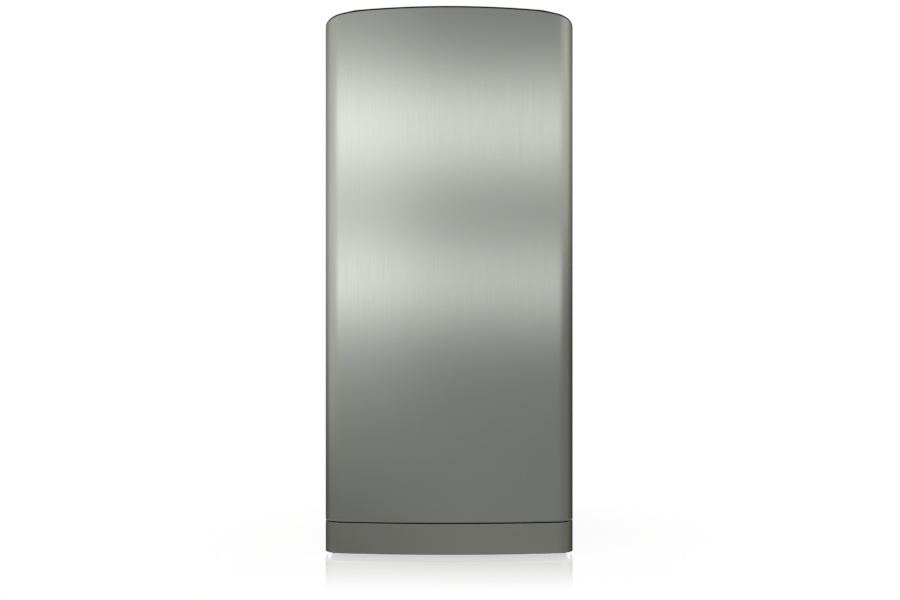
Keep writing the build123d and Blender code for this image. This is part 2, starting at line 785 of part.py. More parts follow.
def plinth():
    """Bowed kick plate with an inner shelf and clips onto the crossmember."""
    wall_plan = bowed_plan(0, CABINET_FRONT) - bowed_plan(PLINTH_WALL, CABINET_FRONT + DOOR_SIDE)
    wall = prism(wall_plan, PLINTH_BOTTOM, PLINTH_TOP)
    shelf_back = CABINET_FRONT - HINGE_PLATE - SCREW_HEAD - PLINTH_WALL
    shelf_top = PLINTH_SHELF + PLINTH_WALL
    shelf = prism(bowed_plan(PLINTH_WALL, shelf_back), PLINTH_SHELF, shelf_top)
    clip = block(CLIP_X, CLIP_X + CLIP_WIDTH, shelf_back, CABINET_FRONT, PLINTH_SHELF, shelf_top)
    return wall + shelf + clip + other_side(clip)


# Hinges
def hinge_arm(z0, z1, length):
    """Arm that runs back and inwards from the hinge pin."""
    reach = Pos(length / 2, 0) * Rectangle(length, 2 * HINGE_ARM)
    outline = Pos(HINGE_X, HINGE_Y) * Rot(0, 0, ARM_ANGLE) * (Circle(HINGE_ARM) + reach)
    return prism(outline, z0, z1)


def leaf_ends():
    """X ends of both hinge leaves."""
    return HINGE_X - HINGE_ARM - HINGE_LEAF_LENGTH, HINGE_X - HINGE_ARM


def upper_hinge():
    """Flat hinge on top of the cabinet, with its pin pointing down."""
    left, right = leaf_ends()
    front = CABINET_FRONT + COVER_MARGIN
    back = front + HINGE_LEAF_DEPTH
    top = CABINET_TOP + HINGE_PLATE
    length = (front + HINGE_ARM - HINGE_Y) / sin(radians(ARM_ANGLE))
    leaf = block(left, right, front, back, CABINET_TOP, top)
    pin = post(HINGE_X, HINGE_Y, LEDGE_Z - PIN_LENGTH + HINGE_PLATE, top, HINGE_PIN)
    return leaf + hinge_arm(CABINET_TOP, top, length) + pin


def lower_hinge():
    """Angle bracket on the crossmember, with a thrust collar and its pin pointing up."""
    left, right = leaf_ends()
    top = PAN_Z
    collar_top = DOOR_BOTTOM - THRUST_GAP
    face = CABINET_FRONT - HINGE_PLATE
    leaf = block(left, right, face, CABINET_FRONT, RAIL_BOTTOM, top)
    length = (CABINET_FRONT - HINGE_Y) / sin(radians(ARM_ANGLE)) + HINGE_ARM
    behind = block(-HALF, HALF, CABINET_FRONT, CABINET_FRONT + HINGE_LEAF_LENGTH, RAIL_BOTTOM, top)
    arm = hinge_arm(top - HINGE_PLATE, top, length) - behind
    collar = post(HINGE_X, HINGE_Y, top, collar_top, HINGE_ARM)
    pin = post(HINGE_X, HINGE_Y, top, DOOR_BOTTOM + PIN_LENGTH - HINGE_PLATE, HINGE_PIN)
    return leaf + arm + collar + pin


def hinge_screws():
    """Screw heads on the two hinge leaves."""
    left, right = leaf_ends()
    heads = []
    upper_y = CABINET_FRONT + COVER_MARGIN + HINGE_LEAF_DEPTH / 2
    upper_z = CABINET_TOP + HINGE_PLATE
    lower_y = CABINET_FRONT - HINGE_PLATE
    lower_z = (RAIL_BOTTOM + PLINTH_SHELF) / 2
    for share in (0.2, 0.5, 0.8):
        x = left + share * (right - left)
        heads.append(post(x, upper_y, upper_z, upper_z + SCREW_HEAD, SCREW_RADIUS))
        heads.append(rod_y(x, lower_y - SCREW_HEAD, lower_y, lower_z, SCREW_RADIUS))
    return heads


def hinge_cover():
    """Moulded cover over the upper hinge leaf, slotted in front for the arm."""
    left, right = leaf_ends()
    front = CABINET_FRONT + LINER
    back = CABINET_FRONT + COVER_MARGIN + HINGE_LEAF_DEPTH + COVER_MARGIN
    low = CABINET_TOP
    high = CABINET_TOP + COVER_HEIGHT
    shell = block(left - COVER_MARGIN, right + COVER_MARGIN, front, back, low, high)
    shell = fillet(shell.faces().sort_by(Axis.Z)[-1].edges(), COVER_MARGIN - COVER_WALL)
    hollow = block(
        left - COVER_MARGIN + COVER_WALL,
        right + COVER_MARGIN - COVER_WALL,
        front + COVER_WALL,
        back - COVER_WALL,
        low,
        high - COVER_WALL,
    )
    slot_left = HINGE_X - HINGE_LEAF_LENGTH * 0.75
    slot_top = low + HINGE_PLATE + COVER_WALL
    slot = block(slot_left, right + COVER_MARGIN - COVER_WALL, front, front + COVER_WALL, low, slot_top)
    return shell - hollow - slot


# Food space fittings
def shelf_panel(level):
    """Glass panel that lies on a pair of ledges."""
    half = CAVITY_HALF - GLASS_SIDE_GAP
    front = CABINET_FRONT + SHELF_FRONT
    return block(-half, half, front, CAVITY_BACK - LEDGE_BACK, level, level + GLASS)


def shelf_trim(level):
    """Moulded nose that wraps the front edge of a glass panel, between the ledges."""
    half = CAVITY_HALF - LEDGE_REACH - GLASS_SIDE_GAP
    edge = CABINET_FRONT + SHELF_FRONT
    front = edge - TRIM_WALL
    top = level + GLASS + TRIM_WALL
    nose = block(-half, half, front, edge + TRIM_DEPTH, top - TRIM_HEIGHT, top)
    nose = fillet(nose.edges().filter_by(Axis.X).group_by(Axis.Y)[0], TRIM_WALL)
    slot = block(-half, half, edge, edge + TRIM_DEPTH, level, level + GLASS)
    under = block(
        -half,
        half,
        edge,
        edge + TRIM_DEPTH,
        top - TRIM_HEIGHT,
        level - TRIM_WALL,
    )
    return nose - slot - under


def open_tray(half, y0, y1, z0, z1):
    """Open moulded tray with rounded upright corners."""
    size = (2 * half, y1 - y0)
    middle = Pos(0, (y0 + y1) / 2)
    outside = prism(middle * RectangleRounded(*size, DRAWER_CORNER), z0, z1)
    inner = (size[0] - 2 * DRAWER_WALL, size[1] - 2 * DRAWER_WALL)
    hollow = middle * RectangleRounded(*inner, DRAWER_CORNER - DRAWER_WALL)
    return outside - prism(hollow, z0 + DRAWER_WALL, z1)


def pull(front, top):
    """Curled finger pull on the front of a drawer."""
    half = PULL_WIDTH / 2
    lip = block(-half, half, front - PULL_REACH, front, top - PULL_HEIGHT, top)
    lip = fillet(lip.edges().filter_by(Axis.Z).group_by(Axis.Y)[0], PULL_REACH / 2)
    scoop = block(
        -half + DRAWER_WALL,
        half - DRAWER_WALL,
        front - PULL_REACH + DRAWER_WALL,
        front,
        top - PULL_HEIGHT,
        top - DRAWER_WALL,
    )
    return lip - scoop


def crisper_drawer():
    """Vegetable drawer that runs on the liner floor in front of the step."""
    front = CABINET_FRONT + DRAWER_FRONT
    floor = CAVITY_FLOOR + FLOOR_CLEAR
    tray = open_tray(DRAWER_HALF, front, STEP_FRONT - CRISPER_BACK_GAP, floor, CRISPER_TOP)
    return tray + pull(front, CRISPER_TOP)


def chiller_tray():
    """Shallow tray under the ice compartment, hung by its lips on the top ledges."""
    front = CABINET_FRONT + DRAWER_FRONT
    back = CAVITY_BACK - CHILLER_BACK_GAP
    top = CHILLER_TOP
    lip_low = top - LIP_THICK
    tray = open_tray(DRAWER_HALF, front, back, top - CHILLER_HEIGHT, top)
    inner = DRAWER_HALF - DRAWER_WALL
    corner = DRAWER_CORNER
    lip = block(inner, CAVITY_HALF - LIP_SIDE_GAP, front + corner, back - corner, lip_low, top)
    return tray + lip + other_side(lip) + pull(front, top)


# Ice compartment
def freezer_front():
    """Depth of the front edge of the ice compartment."""
    return CABINET_FRONT + FREEZER_FRONT


def freezer_box():
    """Folded evaporator box, hung from the ceiling on four spacers."""
    front = freezer_front()
    back = CAVITY_BACK - FREEZER_BACK_GAP
    wall = FREEZER_WALL
    half = FREEZER_HALF
    outside = block(-half, half, front, back, FREEZER_BOTTOM, FREEZER_TOP)
    hollow = block(-half + wall, half - wall, front, back - wall, FREEZER_BOTTOM + wall, FREEZER_TOP - wall)
    box = outside - hollow
    hanger_x = half - HANGER_INSET
    for x in (-hanger_x, hanger_x):
        for y in (front + HANGER_END, back - HANGER_END):
            box = box + post(x, y, FREEZER_TOP, CAVITY_TOP, HANGER_RADIUS)
    return box


def flap_axis():
    """Place of the flap's upright hinge line."""
    depth = freezer_front() - FRAME_DEPTH - FLAP_GAP - FLAP_KNUCKLE
    return FREEZER_HALF - FLAP_INSET, depth


def freezer_frame():
    """Moulded frame round the mouth, with the two ears that hold the flap's pins."""
    front = freezer_front()
    outer = FREEZER_HALF + FRAME_BORDER
    low = FREEZER_BOTTOM - FRAME_BORDER
    high = FREEZER_TOP + FRAME_BORDER
    border = 2 * FRAME_BORDER
    face = ring_y(outer, outer - border, low, high, border, front - FRAME_DEPTH, front)
    collar = ring_y(outer, FREEZER_HALF, low, high, FRAME_BORDER, front, front + FRAME_LAP)
    frame = face + collar
    axis_x, axis_y = flap_axis()
    for ear_low in (low, high - FRAME_BORDER):
        ear_high = ear_low + FRAME_BORDER
        ear = block(
            axis_x - FLAP_KNUCKLE,
            outer,
            axis_y - FLAP_KNUCKLE,
            front - FRAME_DEPTH,
            ear_low,
            ear_high,
        )
        frame = frame + ear - post(axis_x, axis_y, ear_low, ear_high, FLAP_PIN + FLAP_FIT)
    return frame


def freezer_flap():
    """Front flap of the ice compartment: panel, hinge barrel with pins, raised border and pull."""
    axis_x, axis_y = flap_axis()
    low = FREEZER_BOTTOM + FLAP_GAP
    high = FREEZER_TOP - FLAP_GAP
    back = axis_y + FLAP_KNUCKLE
    face = back - FLAP_THICK
    left = -FREEZER_HALF
    panel = block(left, axis_x, face, back, low, high)
    recess = block(
        left + FLAP_BORDER,
        axis_x - FLAP_BORDER,
        face,
        face + FLAP_RELIEF,
        low + FLAP_BORDER,
        high - FLAP_BORDER,
    )
    barrel = post(axis_x, axis_y, low, high, FLAP_KNUCKLE)
    reach = FRAME_BORDER - FLAP_GAP
    pins = post(axis_x, axis_y, low - reach, high + reach, FLAP_PIN)
    middle = (low + high) / 2
    grip = block(
        left,
        left + DRAWER_WALL,
        face - PULL_REACH,
        face,
        middle - PULL_WIDTH / 4,
        middle + PULL_WIDTH / 4,
    )
    return panel - recess + barrel + pins + grip


# Thermostat, lamp and door switch
def housing_place():
    """Inner face, front and back of the thermostat housing."""
    front = CABINET_FRONT + HOUSING_FRONT
    return CAVITY_HALF - HOUSING_REACH, front, front + HOUSING_LENGTH


def control_housing():
    """Moulded thermostat housing on the right-hand wall."""
    inner, front, back = housing_place()
    top = HOUSING_BOTTOM + HOUSING_HEIGHT
    body = block(inner, CAVITY_HALF, front, back, HOUSING_BOTTOM, top)
    body = fillet(body.edges().filter_by(Axis.Y).group_by(Axis.X)[0], HOUSING_CORNER)
    knob_x = CAVITY_HALF - HOUSING_REACH / 2
    body = body - rod_y(knob_x, front, front + KNOB_HUB_DEPTH, KNOB_LEVEL, KNOB_HUB + BUTTON_FIT)
    return body - rod_y(knob_x, front, front + SPINDLE_DEPTH, KNOB_LEVEL, BUTTON_RADIUS + BUTTON_FIT)


def thermostat_knob():
    """Scalloped knob with a hollow hub that turns in the housing."""
    inner, front, back = housing_place()
    knob_x = CAVITY_HALF - HOUSING_REACH / 2
    face = front - KNOB_GAP
    grip = rod_y(knob_x, face - KNOB_DEPTH, face, KNOB_LEVEL, KNOB_RADIUS)
    for index in range(KNOB_FLUTES):
        angle = radians(360 / KNOB_FLUTES * index)
        x = knob_x + (KNOB_RADIUS + KNOB_FLUTE / 2) * cos(angle)
        z = KNOB_LEVEL + (KNOB_RADIUS + KNOB_FLUTE / 2) * sin(angle)
        grip = grip - rod_y(x, face - KNOB_DEPTH, face - KNOB_SKIRT, z, KNOB_FLUTE)
    hub = rod_y(knob_x, face, front + KNOB_HUB_DEPTH - KNOB_GAP, KNOB_LEVEL, KNOB_HUB)
    bore = rod_y(knob_x, face - KNOB_DEPTH, front + KNOB_HUB_DEPTH, KNOB_LEVEL, BUTTON_RADIUS + BUTTON_FIT)
    return grip + hub - bore


def defrost_button():
    """Push-button in the middle of the knob."""
    inner, front, back = housing_place()
    knob_x = CAVITY_HALF - HOUSING_REACH / 2
    tip = front - KNOB_GAP - KNOB_DEPTH - BUTTON_PROUD
    tail = front + SPINDLE_DEPTH - BUTTON_TRAVEL - KNOB_GAP
    stem = rod_y(knob_x, tip, tail, KNOB_LEVEL, BUTTON_RADIUS)
    return chamfer(stem.faces().sort_by(Axis.Y)[0].edges(), BUTTON_RADIUS / 5)


def lamp_cover():
    """Clear cover over the lamp, open to the wall and to the housing."""
    inner, front, back = housing_place()
    low = HOUSING_BOTTOM + HOUSING_CORNER
    high = HOUSING_BOTTOM + HOUSING_HEIGHT - HOUSING_CORNER
    near = inner + LAMP_WALL
    shell = block(near, CAVITY_HALF, back, back + LAMP_LENGTH, low, high)
    shell = fillet(shell.edges().filter_by(Axis.Y).group_by(Axis.X)[0], HOUSING_CORNER)
    hollow = block(
        near + LAMP_WALL,
        CAVITY_HALF,
        back,
        back + LAMP_LENGTH - LAMP_WALL,
        low + LAMP_WALL,
        high - LAMP_WALL,
    )
    hollow = fillet(hollow.edges().filter_by(Axis.Y).group_by(Axis.X)[0], HOUSING_CORNER - LAMP_WALL)
    return shell - hollow


def lamp_bulb():
    """Small pear lamp with its screw cap, plugged into the back of the housing."""
    inner, front, back = housing_place()
    lamp_x = CAVITY_HALF - HOUSING_REACH / 2
    level = HOUSING_BOTTOM + HOUSING_HEIGHT / 2
    cap = BULB_RADIUS * 0.56
    globe = BULB_LENGTH - BULB_RADIUS
    profile = make_face(
        Polyline((BULB_RADIUS, globe), (cap, BULB_LENGTH * 0.4), (cap, 0), (0, 0), (0, BULB_LENGTH))
        + RadiusArc((0, BULB_LENGTH), (BULB_RADIUS, globe), BULB_RADIUS)
    )
    lamp = revolve(profile, axis=Axis.Y)
    return Pos(lamp_x, back, level) * lamp


def switch_place():
    """Axis of the door switch plunger and front face of the switch."""
    return DIKE_INNER + DIKE_WIDTH / 2, CABINET_FRONT + SWITCH_BACKSET


def light_switch_body():
    """Door switch housing on the right-hand wall."""
    axis_x, front = switch_place()
    back = front + SWITCH_LENGTH
    half = SWITCH_HALF
    body = block(axis_x - half, CAVITY_HALF, front, back, SWITCH_LEVEL - half, SWITCH_LEVEL + half)
    body = fillet(body.edges().filter_by(Axis.Y).group_by(Axis.X)[0], half / 2)
    return body - rod_y(axis_x, front, back - SWITCH_WALL, SWITCH_LEVEL, PLUNGER_RADIUS + PLUNGER_FIT)


def switch_plunger():
    """Sprung plunger that the door's ring holds in while the door is shut."""
    axis_x, front = switch_place()
    tip = DOOR_BACK + DIKE_REACH + PLUNGER_REST_GAP
    tail = front + SWITCH_LENGTH - SWITCH_WALL - PLUNGER_REST_GAP
    stem = rod_y(axis_x, tip, tail, SWITCH_LEVEL, PLUNGER_RADIUS)
    return fillet(stem.faces().sort_by(Axis.Y)[0].edges(), PLUNGER_RADIUS / 2)


# Machine space
def compressor():
    """Sealed two-part steel shell with its seam, base plate and pipe stubs."""
    half_height = COMPRESSOR_HEIGHT / 2
    shell = extrude(Ellipse(COMPRESSOR_LONG, COMPRESSOR_SHORT), COMPRESSOR_HEIGHT)
    rims = shell.edges().group_by(Axis.Z)
    shell = fillet(rims[0] + rims[-1], COMPRESSOR_ROUND)
    seam_plan = Ellipse(COMPRESSOR_LONG + SEAM_PROUD, COMPRESSOR_SHORT + SEAM_PROUD)
    seam_low = half_height - SEAM_HEIGHT / 2
    shell = shell + prism(seam_plan, seam_low, seam_low + SEAM_HEIGHT)
    foot_long = 2 * (GROMMET_X + GROMMET_RADIUS)
    foot_wide = 2 * (GROMMET_Y + GROMMET_RADIUS)
    shell = shell + prism(RectangleRounded(foot_long, foot_wide, GROMMET_RADIUS), -BASE_PLATE, 0)
    for x in (-STUB_OFFSET, STUB_OFFSET):
        stub_top = COMPRESSOR_HEIGHT + STUB_RISE
        shell = shell + post(x, 0, half_height, stub_top, PIPE)
    return Pos(COMPRESSOR_X, MACHINE_Y, COMPRESSOR_BOTTOM) * shell


def compressor_grommets():
    """Four rubber mounts between the deck and the compressor."""
    mounts = []
    for x in (-GROMMET_X, GROMMET_X):
        for y in (-GROMMET_Y, GROMMET_Y):
            place = (COMPRESSOR_X + x, MACHINE_Y + y)
            mounts.append(post(*place, DECK_Z, DECK_Z + GROMMET_HEIGHT, GROMMET_RADIUS))
    return mounts


def terminal_faces():
    """Outer face, lower and upper level of the terminal cover."""
    outer = COMPRESSOR_X + COMPRESSOR_LONG + TERMINAL_REACH
    middle = COMPRESSOR_BOTTOM + COMPRESSOR_HEIGHT / 2
    return outer, middle - TERMINAL_HEIGHT / 2, middle + TERMINAL_HEIGHT / 2


def terminal_cover(pump):
    """Moulded cover over the compressor's terminals, cut to the shell."""
    outer, low, high = terminal_faces()
    wide = TERMINAL_WIDTH / 2
    box = block(outer - 2 * TERMINAL_REACH, outer, MACHINE_Y - wide, MACHINE_Y + wide, low, high)
    box = fillet(box.edges().filter_by(Axis.Z).group_by(Axis.X)[-1], TERMINAL_REACH / 5)
    return (box - pump).solids().sort_by(Axis.X)[-1]


def cord_inlet():
    """Gland in the terminal cover for a mains lead."""
    outer, low, high = terminal_faces()
    level = (low + high) / 2
    gland = rod_x(outer, outer + GLAND_LENGTH, MACHINE_Y, level, GLAND_RADIUS)
    return gland - rod_x(outer, outer + GLAND_LENGTH, MACHINE_Y, level, GLAND_BORE)


def evaporating_tray():
    """Open tray on the compressor that dries up the defrost water."""
    outside = RectangleRounded(TRAY_LONG, TRAY_SHORT, TRAY_CORNER)
    inner = (TRAY_LONG - 2 * TRAY_WALL, TRAY_SHORT - 2 * TRAY_WALL)
    hollow = RectangleRounded(*inner, TRAY_CORNER - TRAY_WALL)
    tray = prism(outside, 0, TRAY_HEIGHT) - prism(hollow, TRAY_WALL, TRAY_HEIGHT)
    return Pos(COMPRESSOR_X, MACHINE_Y, COMPRESSOR_TOP) * tray


def drain_spout():
    """Tube that leads the defrost water down to the tray."""
    return drain_hole(DRAIN_RADIUS) - drain_hole(DRAIN_BORE)


def discharge_pipe():
    """Hot pipe from the compressor to the foot of the condenser's riser."""
    start_x = COMPRESSOR_X - STUB_OFFSET
    points = [
        (start_x, MACHINE_Y, COMPRESSOR_TOP + STUB_RISE),
        (start_x, MACHINE_Y, PIPE_LEVEL),
        (RISER_X, MACHINE_Y, PIPE_LEVEL),
        (RISER_X, TUBE_Y, PIPE_LEVEL),
        (RISER_X, TUBE_Y, TUBE_END),
    ]
    return pipe_run(points, TUBE, PIPE_BEND)


def suction_pipe():
    """Cold pipe from the evaporator, out of the back panel and down to the compressor."""
    start_x = COMPRESSOR_X + STUB_OFFSET
    behind = (CASE_REAR + TUBE_Y - TUBE - WIRE) / 2
    entry = TUBE_END + SUCTION_RISE
    points = [
        (start_x, MACHINE_Y, COMPRESSOR_TOP + STUB_RISE),
        (start_x, MACHINE_Y, PIPE_LEVEL),
        (start_x, behind, PIPE_LEVEL),
        (start_x, behind, entry),
        (start_x, CASE_REAR, entry),
    ]
    return pipe_run(points, PIPE, PIPE_BEND)


# Condenser
def run_level(index):
    """Height of one straight run of the condenser tube, counted from the bottom."""
    return RUN_BOTTOM + index * RUN_PITCH


def bend_radius():
    """Radius of the condenser's return bends."""
    return (RUN_PITCH - BEND_STRAIGHT) / 2


def bend_x():
    """X place of the return bends, and of the tube's last corner."""
    return RUN_HALF + bend_radius()


def condenser():
    """Serpentine tube with upright wires on both sides of it."""
    end_x = bend_x()
    riser_top = run_level(RUNS - 1)
    points = [(RISER_X, TUBE_Y, TUBE_END), (RISER_X, TUBE_Y, riser_top)]
    side = 1
    for index in reversed(range(1, RUNS)):
        points.append((side * end_x, TUBE_Y, run_level(index)))
        points.append((side * end_x, TUBE_Y, run_level(index - 1)))
        side = -side
    points.append((end_x, TUBE_Y, RUN_BOTTOM))
    points.append((end_x, TUBE_Y, DRIER_LEVEL))
    points.append((end_x, CASE_REAR, DRIER_LEVEL))
    solids = [pipe_run(points, TUBE, bend_radius())]
    low = RUN_BOTTOM - WIRE_TAIL
    high = riser_top + WIRE_TAIL
    for index in range(WIRES):
        x = (2 * index / (WIRES - 1) - 1) * (RUN_HALF - WIRE_INSET)
        behind = TUBE_Y + TUBE if index % 2 else TUBE_Y - TUBE - WIRE
        solids.append(block(x - WIRE / 2, x + WIRE / 2, behind, behind + WIRE, low, high))
    return solids


def condenser_brackets():
    """Stand-offs that hold the wire grid off the back panel."""
    stands = []
    wires = TUBE_Y - TUBE - WIRE
    middle = RUN_HALF - BRACKET_INSET
    half = BRACKET_WIDTH / 2
    tall = BRACKET_HEIGHT / 2
    for level in (run_level(0), run_level(RUNS - 1)):
        for x in (-middle, middle):
            stands.append(block(x - half, x + half, CASE_REAR, wires, level - tall, level + tall))
    return stands


def filter_drier():
    """Copper drier at the end of the condenser tube, with drawn-in ends."""
    outline = Polyline(
        (0, 0),
        (TUBE, 0),
        (DRIER_RADIUS, -DRIER_TAPER),
        (DRIER_RADIUS, DRIER_TAPER - DRIER_LENGTH),
        (TUBE, -DRIER_LENGTH),
        (0, -DRIER_LENGTH),
        close=True,
    )
    drier = revolve(make_face(outline), axis=Axis.Y)
    return Pos(bend_x(), CASE_REAR, DRIER_LEVEL) * drier


def save(name, shape):
    """Write one node, a single piece or a list of like pieces."""
    if isinstance(shape, list):
        shape = Compound(children=shape)
    export_step(shape, f"parts/{name}.step")


def main():
    """Build every node and write it to its own file."""
    os.makedirs("parts", exist_ok=True)
    pump = compressor()
    side = case_side()
    rail = base_rail()
    axle = roller_axle()
    wheel = roller()
    right_foot = foot()
    nodes = {
        "case_side_right": side,
        "case_side_left": other_side(side),
        "case_top": case_top(),
        "cabinet_foam": cabinet_foam(),
        "inner_liner": inner_liner(),
        "back_panel": back_panel(),
        "bottom_pan": bottom_pan(),
        "base_rail_right": rail,
        "base_rail_left": other_side(rail),
        "front_crossmember": front_crossmember(),
        "compressor_plate": compressor_plate(),
        "roller_axles": [axle, other_side(axle)],
        "plinth": plinth(),
        "lower_hinge": lower_hinge(),
        "upper_hinge": upper_hinge(),
        "hinge_screws": hinge_screws(),
        "hinge_cover": hinge_cover(),
        "shelf_glass": [shelf_panel(level) for level in SHELF_LEVELS],
        "shelf_trims": [shelf_trim(level) for level in SHELF_LEVELS],
        "crisper_cover": shelf_panel(CRISPER_COVER_LEVEL),
        "freezer_box": freezer_box(),
        "freezer_frame": freezer_frame(),
        "control_housing": control_housing(),
        "lamp_bulb": lamp_bulb(),
        "lamp_cover": lamp_cover(),
        "light_switch_body": light_switch_body(),
        "compressor": pump,
        "compressor_grommets": compressor_grommets(),
        "terminal_cover": terminal_cover(pump),
        "cord_inlet": cord_inlet(),
        "evaporating_tray": evaporating_tray(),
        "drain_spout": drain_spout(),
        "discharge_pipe": discharge_pipe(),
        "suction_pipe": suction_pipe(),
        "condenser": condenser(),
        "condenser_brackets": condenser_brackets(),
        "filter_drier": filter_drier(),
        "door_skin": door_skin(),
        "door_foam": door_foam(),
        "door_liner": door_liner(),
        "door_top_cap": door_top_cap(),
        "door_bottom_cap": door_bottom_cap(),
        "door_gasket": door_gasket(),
        "grip_insert": grip_insert(),
        "hinge_bushes": hinge_bushes(),
        "egg_shelf": door_bin(EGG_SHELF_LEVEL, EGG_SHELF_HEIGHT, EGG_SHELF_DEPTH),
        "egg_tray": egg_tray(),
        "upper_bin": door_bin(UPPER_BIN_LEVEL, UPPER_BIN_HEIGHT, UPPER_BIN_DEPTH),
        "middle_bin": door_bin(MIDDLE_BIN_LEVEL, MIDDLE_BIN_HEIGHT, MIDDLE_BIN_DEPTH),
        "bottle_bin": door_bin(BOTTLE_BIN_LEVEL, BOTTLE_BIN_HEIGHT, BOTTLE_BIN_DEPTH),
        "freezer_flap": freezer_flap(),
        "crisper_drawer": crisper_drawer(),
        "chiller_tray": chiller_tray(),
        "thermostat_knob": thermostat_knob(),
        "defrost_button": defrost_button(),
        "switch_plunger": switch_plunger(),
        "foot_right": right_foot,
        "foot_left": other_side(right_foot),
        "roller_right": wheel,
        "roller_left": other_side(wheel),
    }
    for name, shape in nodes.items():
        save(name, shape)


main()
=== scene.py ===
"""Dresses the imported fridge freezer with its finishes, fine detail, studio light and camera."""

import json
import logging
import math
from dataclasses import dataclass
from enum import Enum
from typing import Any, Sequence, Union

import bmesh
import bpy
from mathutils import Matrix, Vector


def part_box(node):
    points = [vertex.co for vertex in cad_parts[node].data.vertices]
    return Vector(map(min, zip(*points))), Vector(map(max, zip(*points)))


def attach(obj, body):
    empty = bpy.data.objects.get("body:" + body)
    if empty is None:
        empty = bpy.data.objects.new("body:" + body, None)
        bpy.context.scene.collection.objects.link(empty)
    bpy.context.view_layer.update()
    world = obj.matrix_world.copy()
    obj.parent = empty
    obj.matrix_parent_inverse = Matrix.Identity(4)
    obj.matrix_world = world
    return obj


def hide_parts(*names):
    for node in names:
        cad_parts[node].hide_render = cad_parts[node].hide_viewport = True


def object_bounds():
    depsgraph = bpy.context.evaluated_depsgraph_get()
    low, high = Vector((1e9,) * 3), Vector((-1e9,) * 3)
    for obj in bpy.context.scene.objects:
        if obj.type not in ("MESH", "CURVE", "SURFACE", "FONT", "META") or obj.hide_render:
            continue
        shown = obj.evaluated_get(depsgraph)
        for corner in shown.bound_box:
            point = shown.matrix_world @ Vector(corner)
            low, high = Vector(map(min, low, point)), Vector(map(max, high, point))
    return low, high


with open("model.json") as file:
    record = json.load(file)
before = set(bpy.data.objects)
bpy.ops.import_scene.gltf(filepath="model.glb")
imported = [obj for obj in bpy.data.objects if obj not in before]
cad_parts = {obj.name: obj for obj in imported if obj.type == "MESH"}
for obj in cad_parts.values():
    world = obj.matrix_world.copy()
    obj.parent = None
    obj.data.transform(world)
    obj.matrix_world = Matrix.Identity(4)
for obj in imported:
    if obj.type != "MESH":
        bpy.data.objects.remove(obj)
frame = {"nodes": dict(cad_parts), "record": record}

CAD_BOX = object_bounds()
FRONT = CAD_BOX[0][1]
MM = 0.001
LOG = logging.getLogger("fridge")

BODY_OF = {
    node: body for body, nodes in frame["record"]["behaviour"]["bodies"].items() for node in nodes
}
SLOT_OF = {row["node"]: row["material_slot"] for row in frame["record"]["subparts"]}

Point = tuple[float, float, float]
Plan = list[tuple[float, float]]
Profile = Sequence[tuple[float, float]]
Colour = tuple[float, float, float, float]
Mesh = bpy.types.Mesh
Piece = bpy.types.Object
Tree = bpy.types.NodeTree
Node = bpy.types.Node
Socket = bpy.types.NodeSocket
Source = Union[Node, Socket]

# Points nearer to each other than this are one point, and a face thinner than half of it is none.
TOUCH = 0.001 * MM
# Faces of a CAD form that meet at less than this many degrees are one flat.
FLAT_ANGLE = 0.4
# Edges that turn by more than this many degrees are rounded.
ROUNDED_ANGLE = 35.0
# Share by which the grain moves a finish's roughness up and down.
GRAIN_SWING = 0.15
COAT_ROUGHNESS = 0.12


def linear(hex_colour: str) -> Colour:
    """Turn an sRGB hex colour into linear light.

    Args:
        hex_colour: Six hex digits after a hash sign.

    Returns:
        Red, green, blue and an alpha of one.
    """
    shares = [int(hex_colour[start : start + 2], 16) / 255 for start in (1, 3, 5)]
    # The curve of the sRGB standard: straight near black, and a power above that.
    red, green, blue = [s / 12.92 if s <= 0.04045 else ((s + 0.055) / 1.055) ** 2.4 for s in shares]
    return red, green, blue, 1.0


WHITE = linear("#FFFFFF")


def per_metre(size_mm: float) -> float:
    """Texture scale at which one feature is size_mm wide."""
    return 1 / (size_mm * MM)


def empty_tree(owner: Union[bpy.types.Material, bpy.types.World]) -> Tree:
    """Switch nodes on and clear them.

    Args:
        owner: Material or world that has the nodes.

    Returns:
        The empty node tree.
    """
    owner.use_nodes = True
    owner.node_tree.nodes.clear()
    return owner.node_tree


def add_node(tree: Tree, kind: str, inputs: dict | None = None, **settings: Any) -> Node:
    """Add one node with its settings, constants and links.

    Args:
        tree: Node tree that gets the node.
        kind: Blender's type name of the node, without the ShaderNode that it begins with.
        inputs: Value, output socket or node for each input, by name or index. A node gives its first output.
        **settings: Properties of the node itself.

    Returns:
        The new node.
    """
    node = tree.nodes.new(f"ShaderNode{kind}")
    for name, value in settings.items():
        setattr(node, name, value)
    for socket, value in (inputs or {}).items():
        source = value.outputs[0] if isinstance(value, Node) else value
        if isinstance(source, Socket):
            tree.links.new(source, node.inputs[socket])
        else:
            node.inputs[socket].default_value = source
    return node


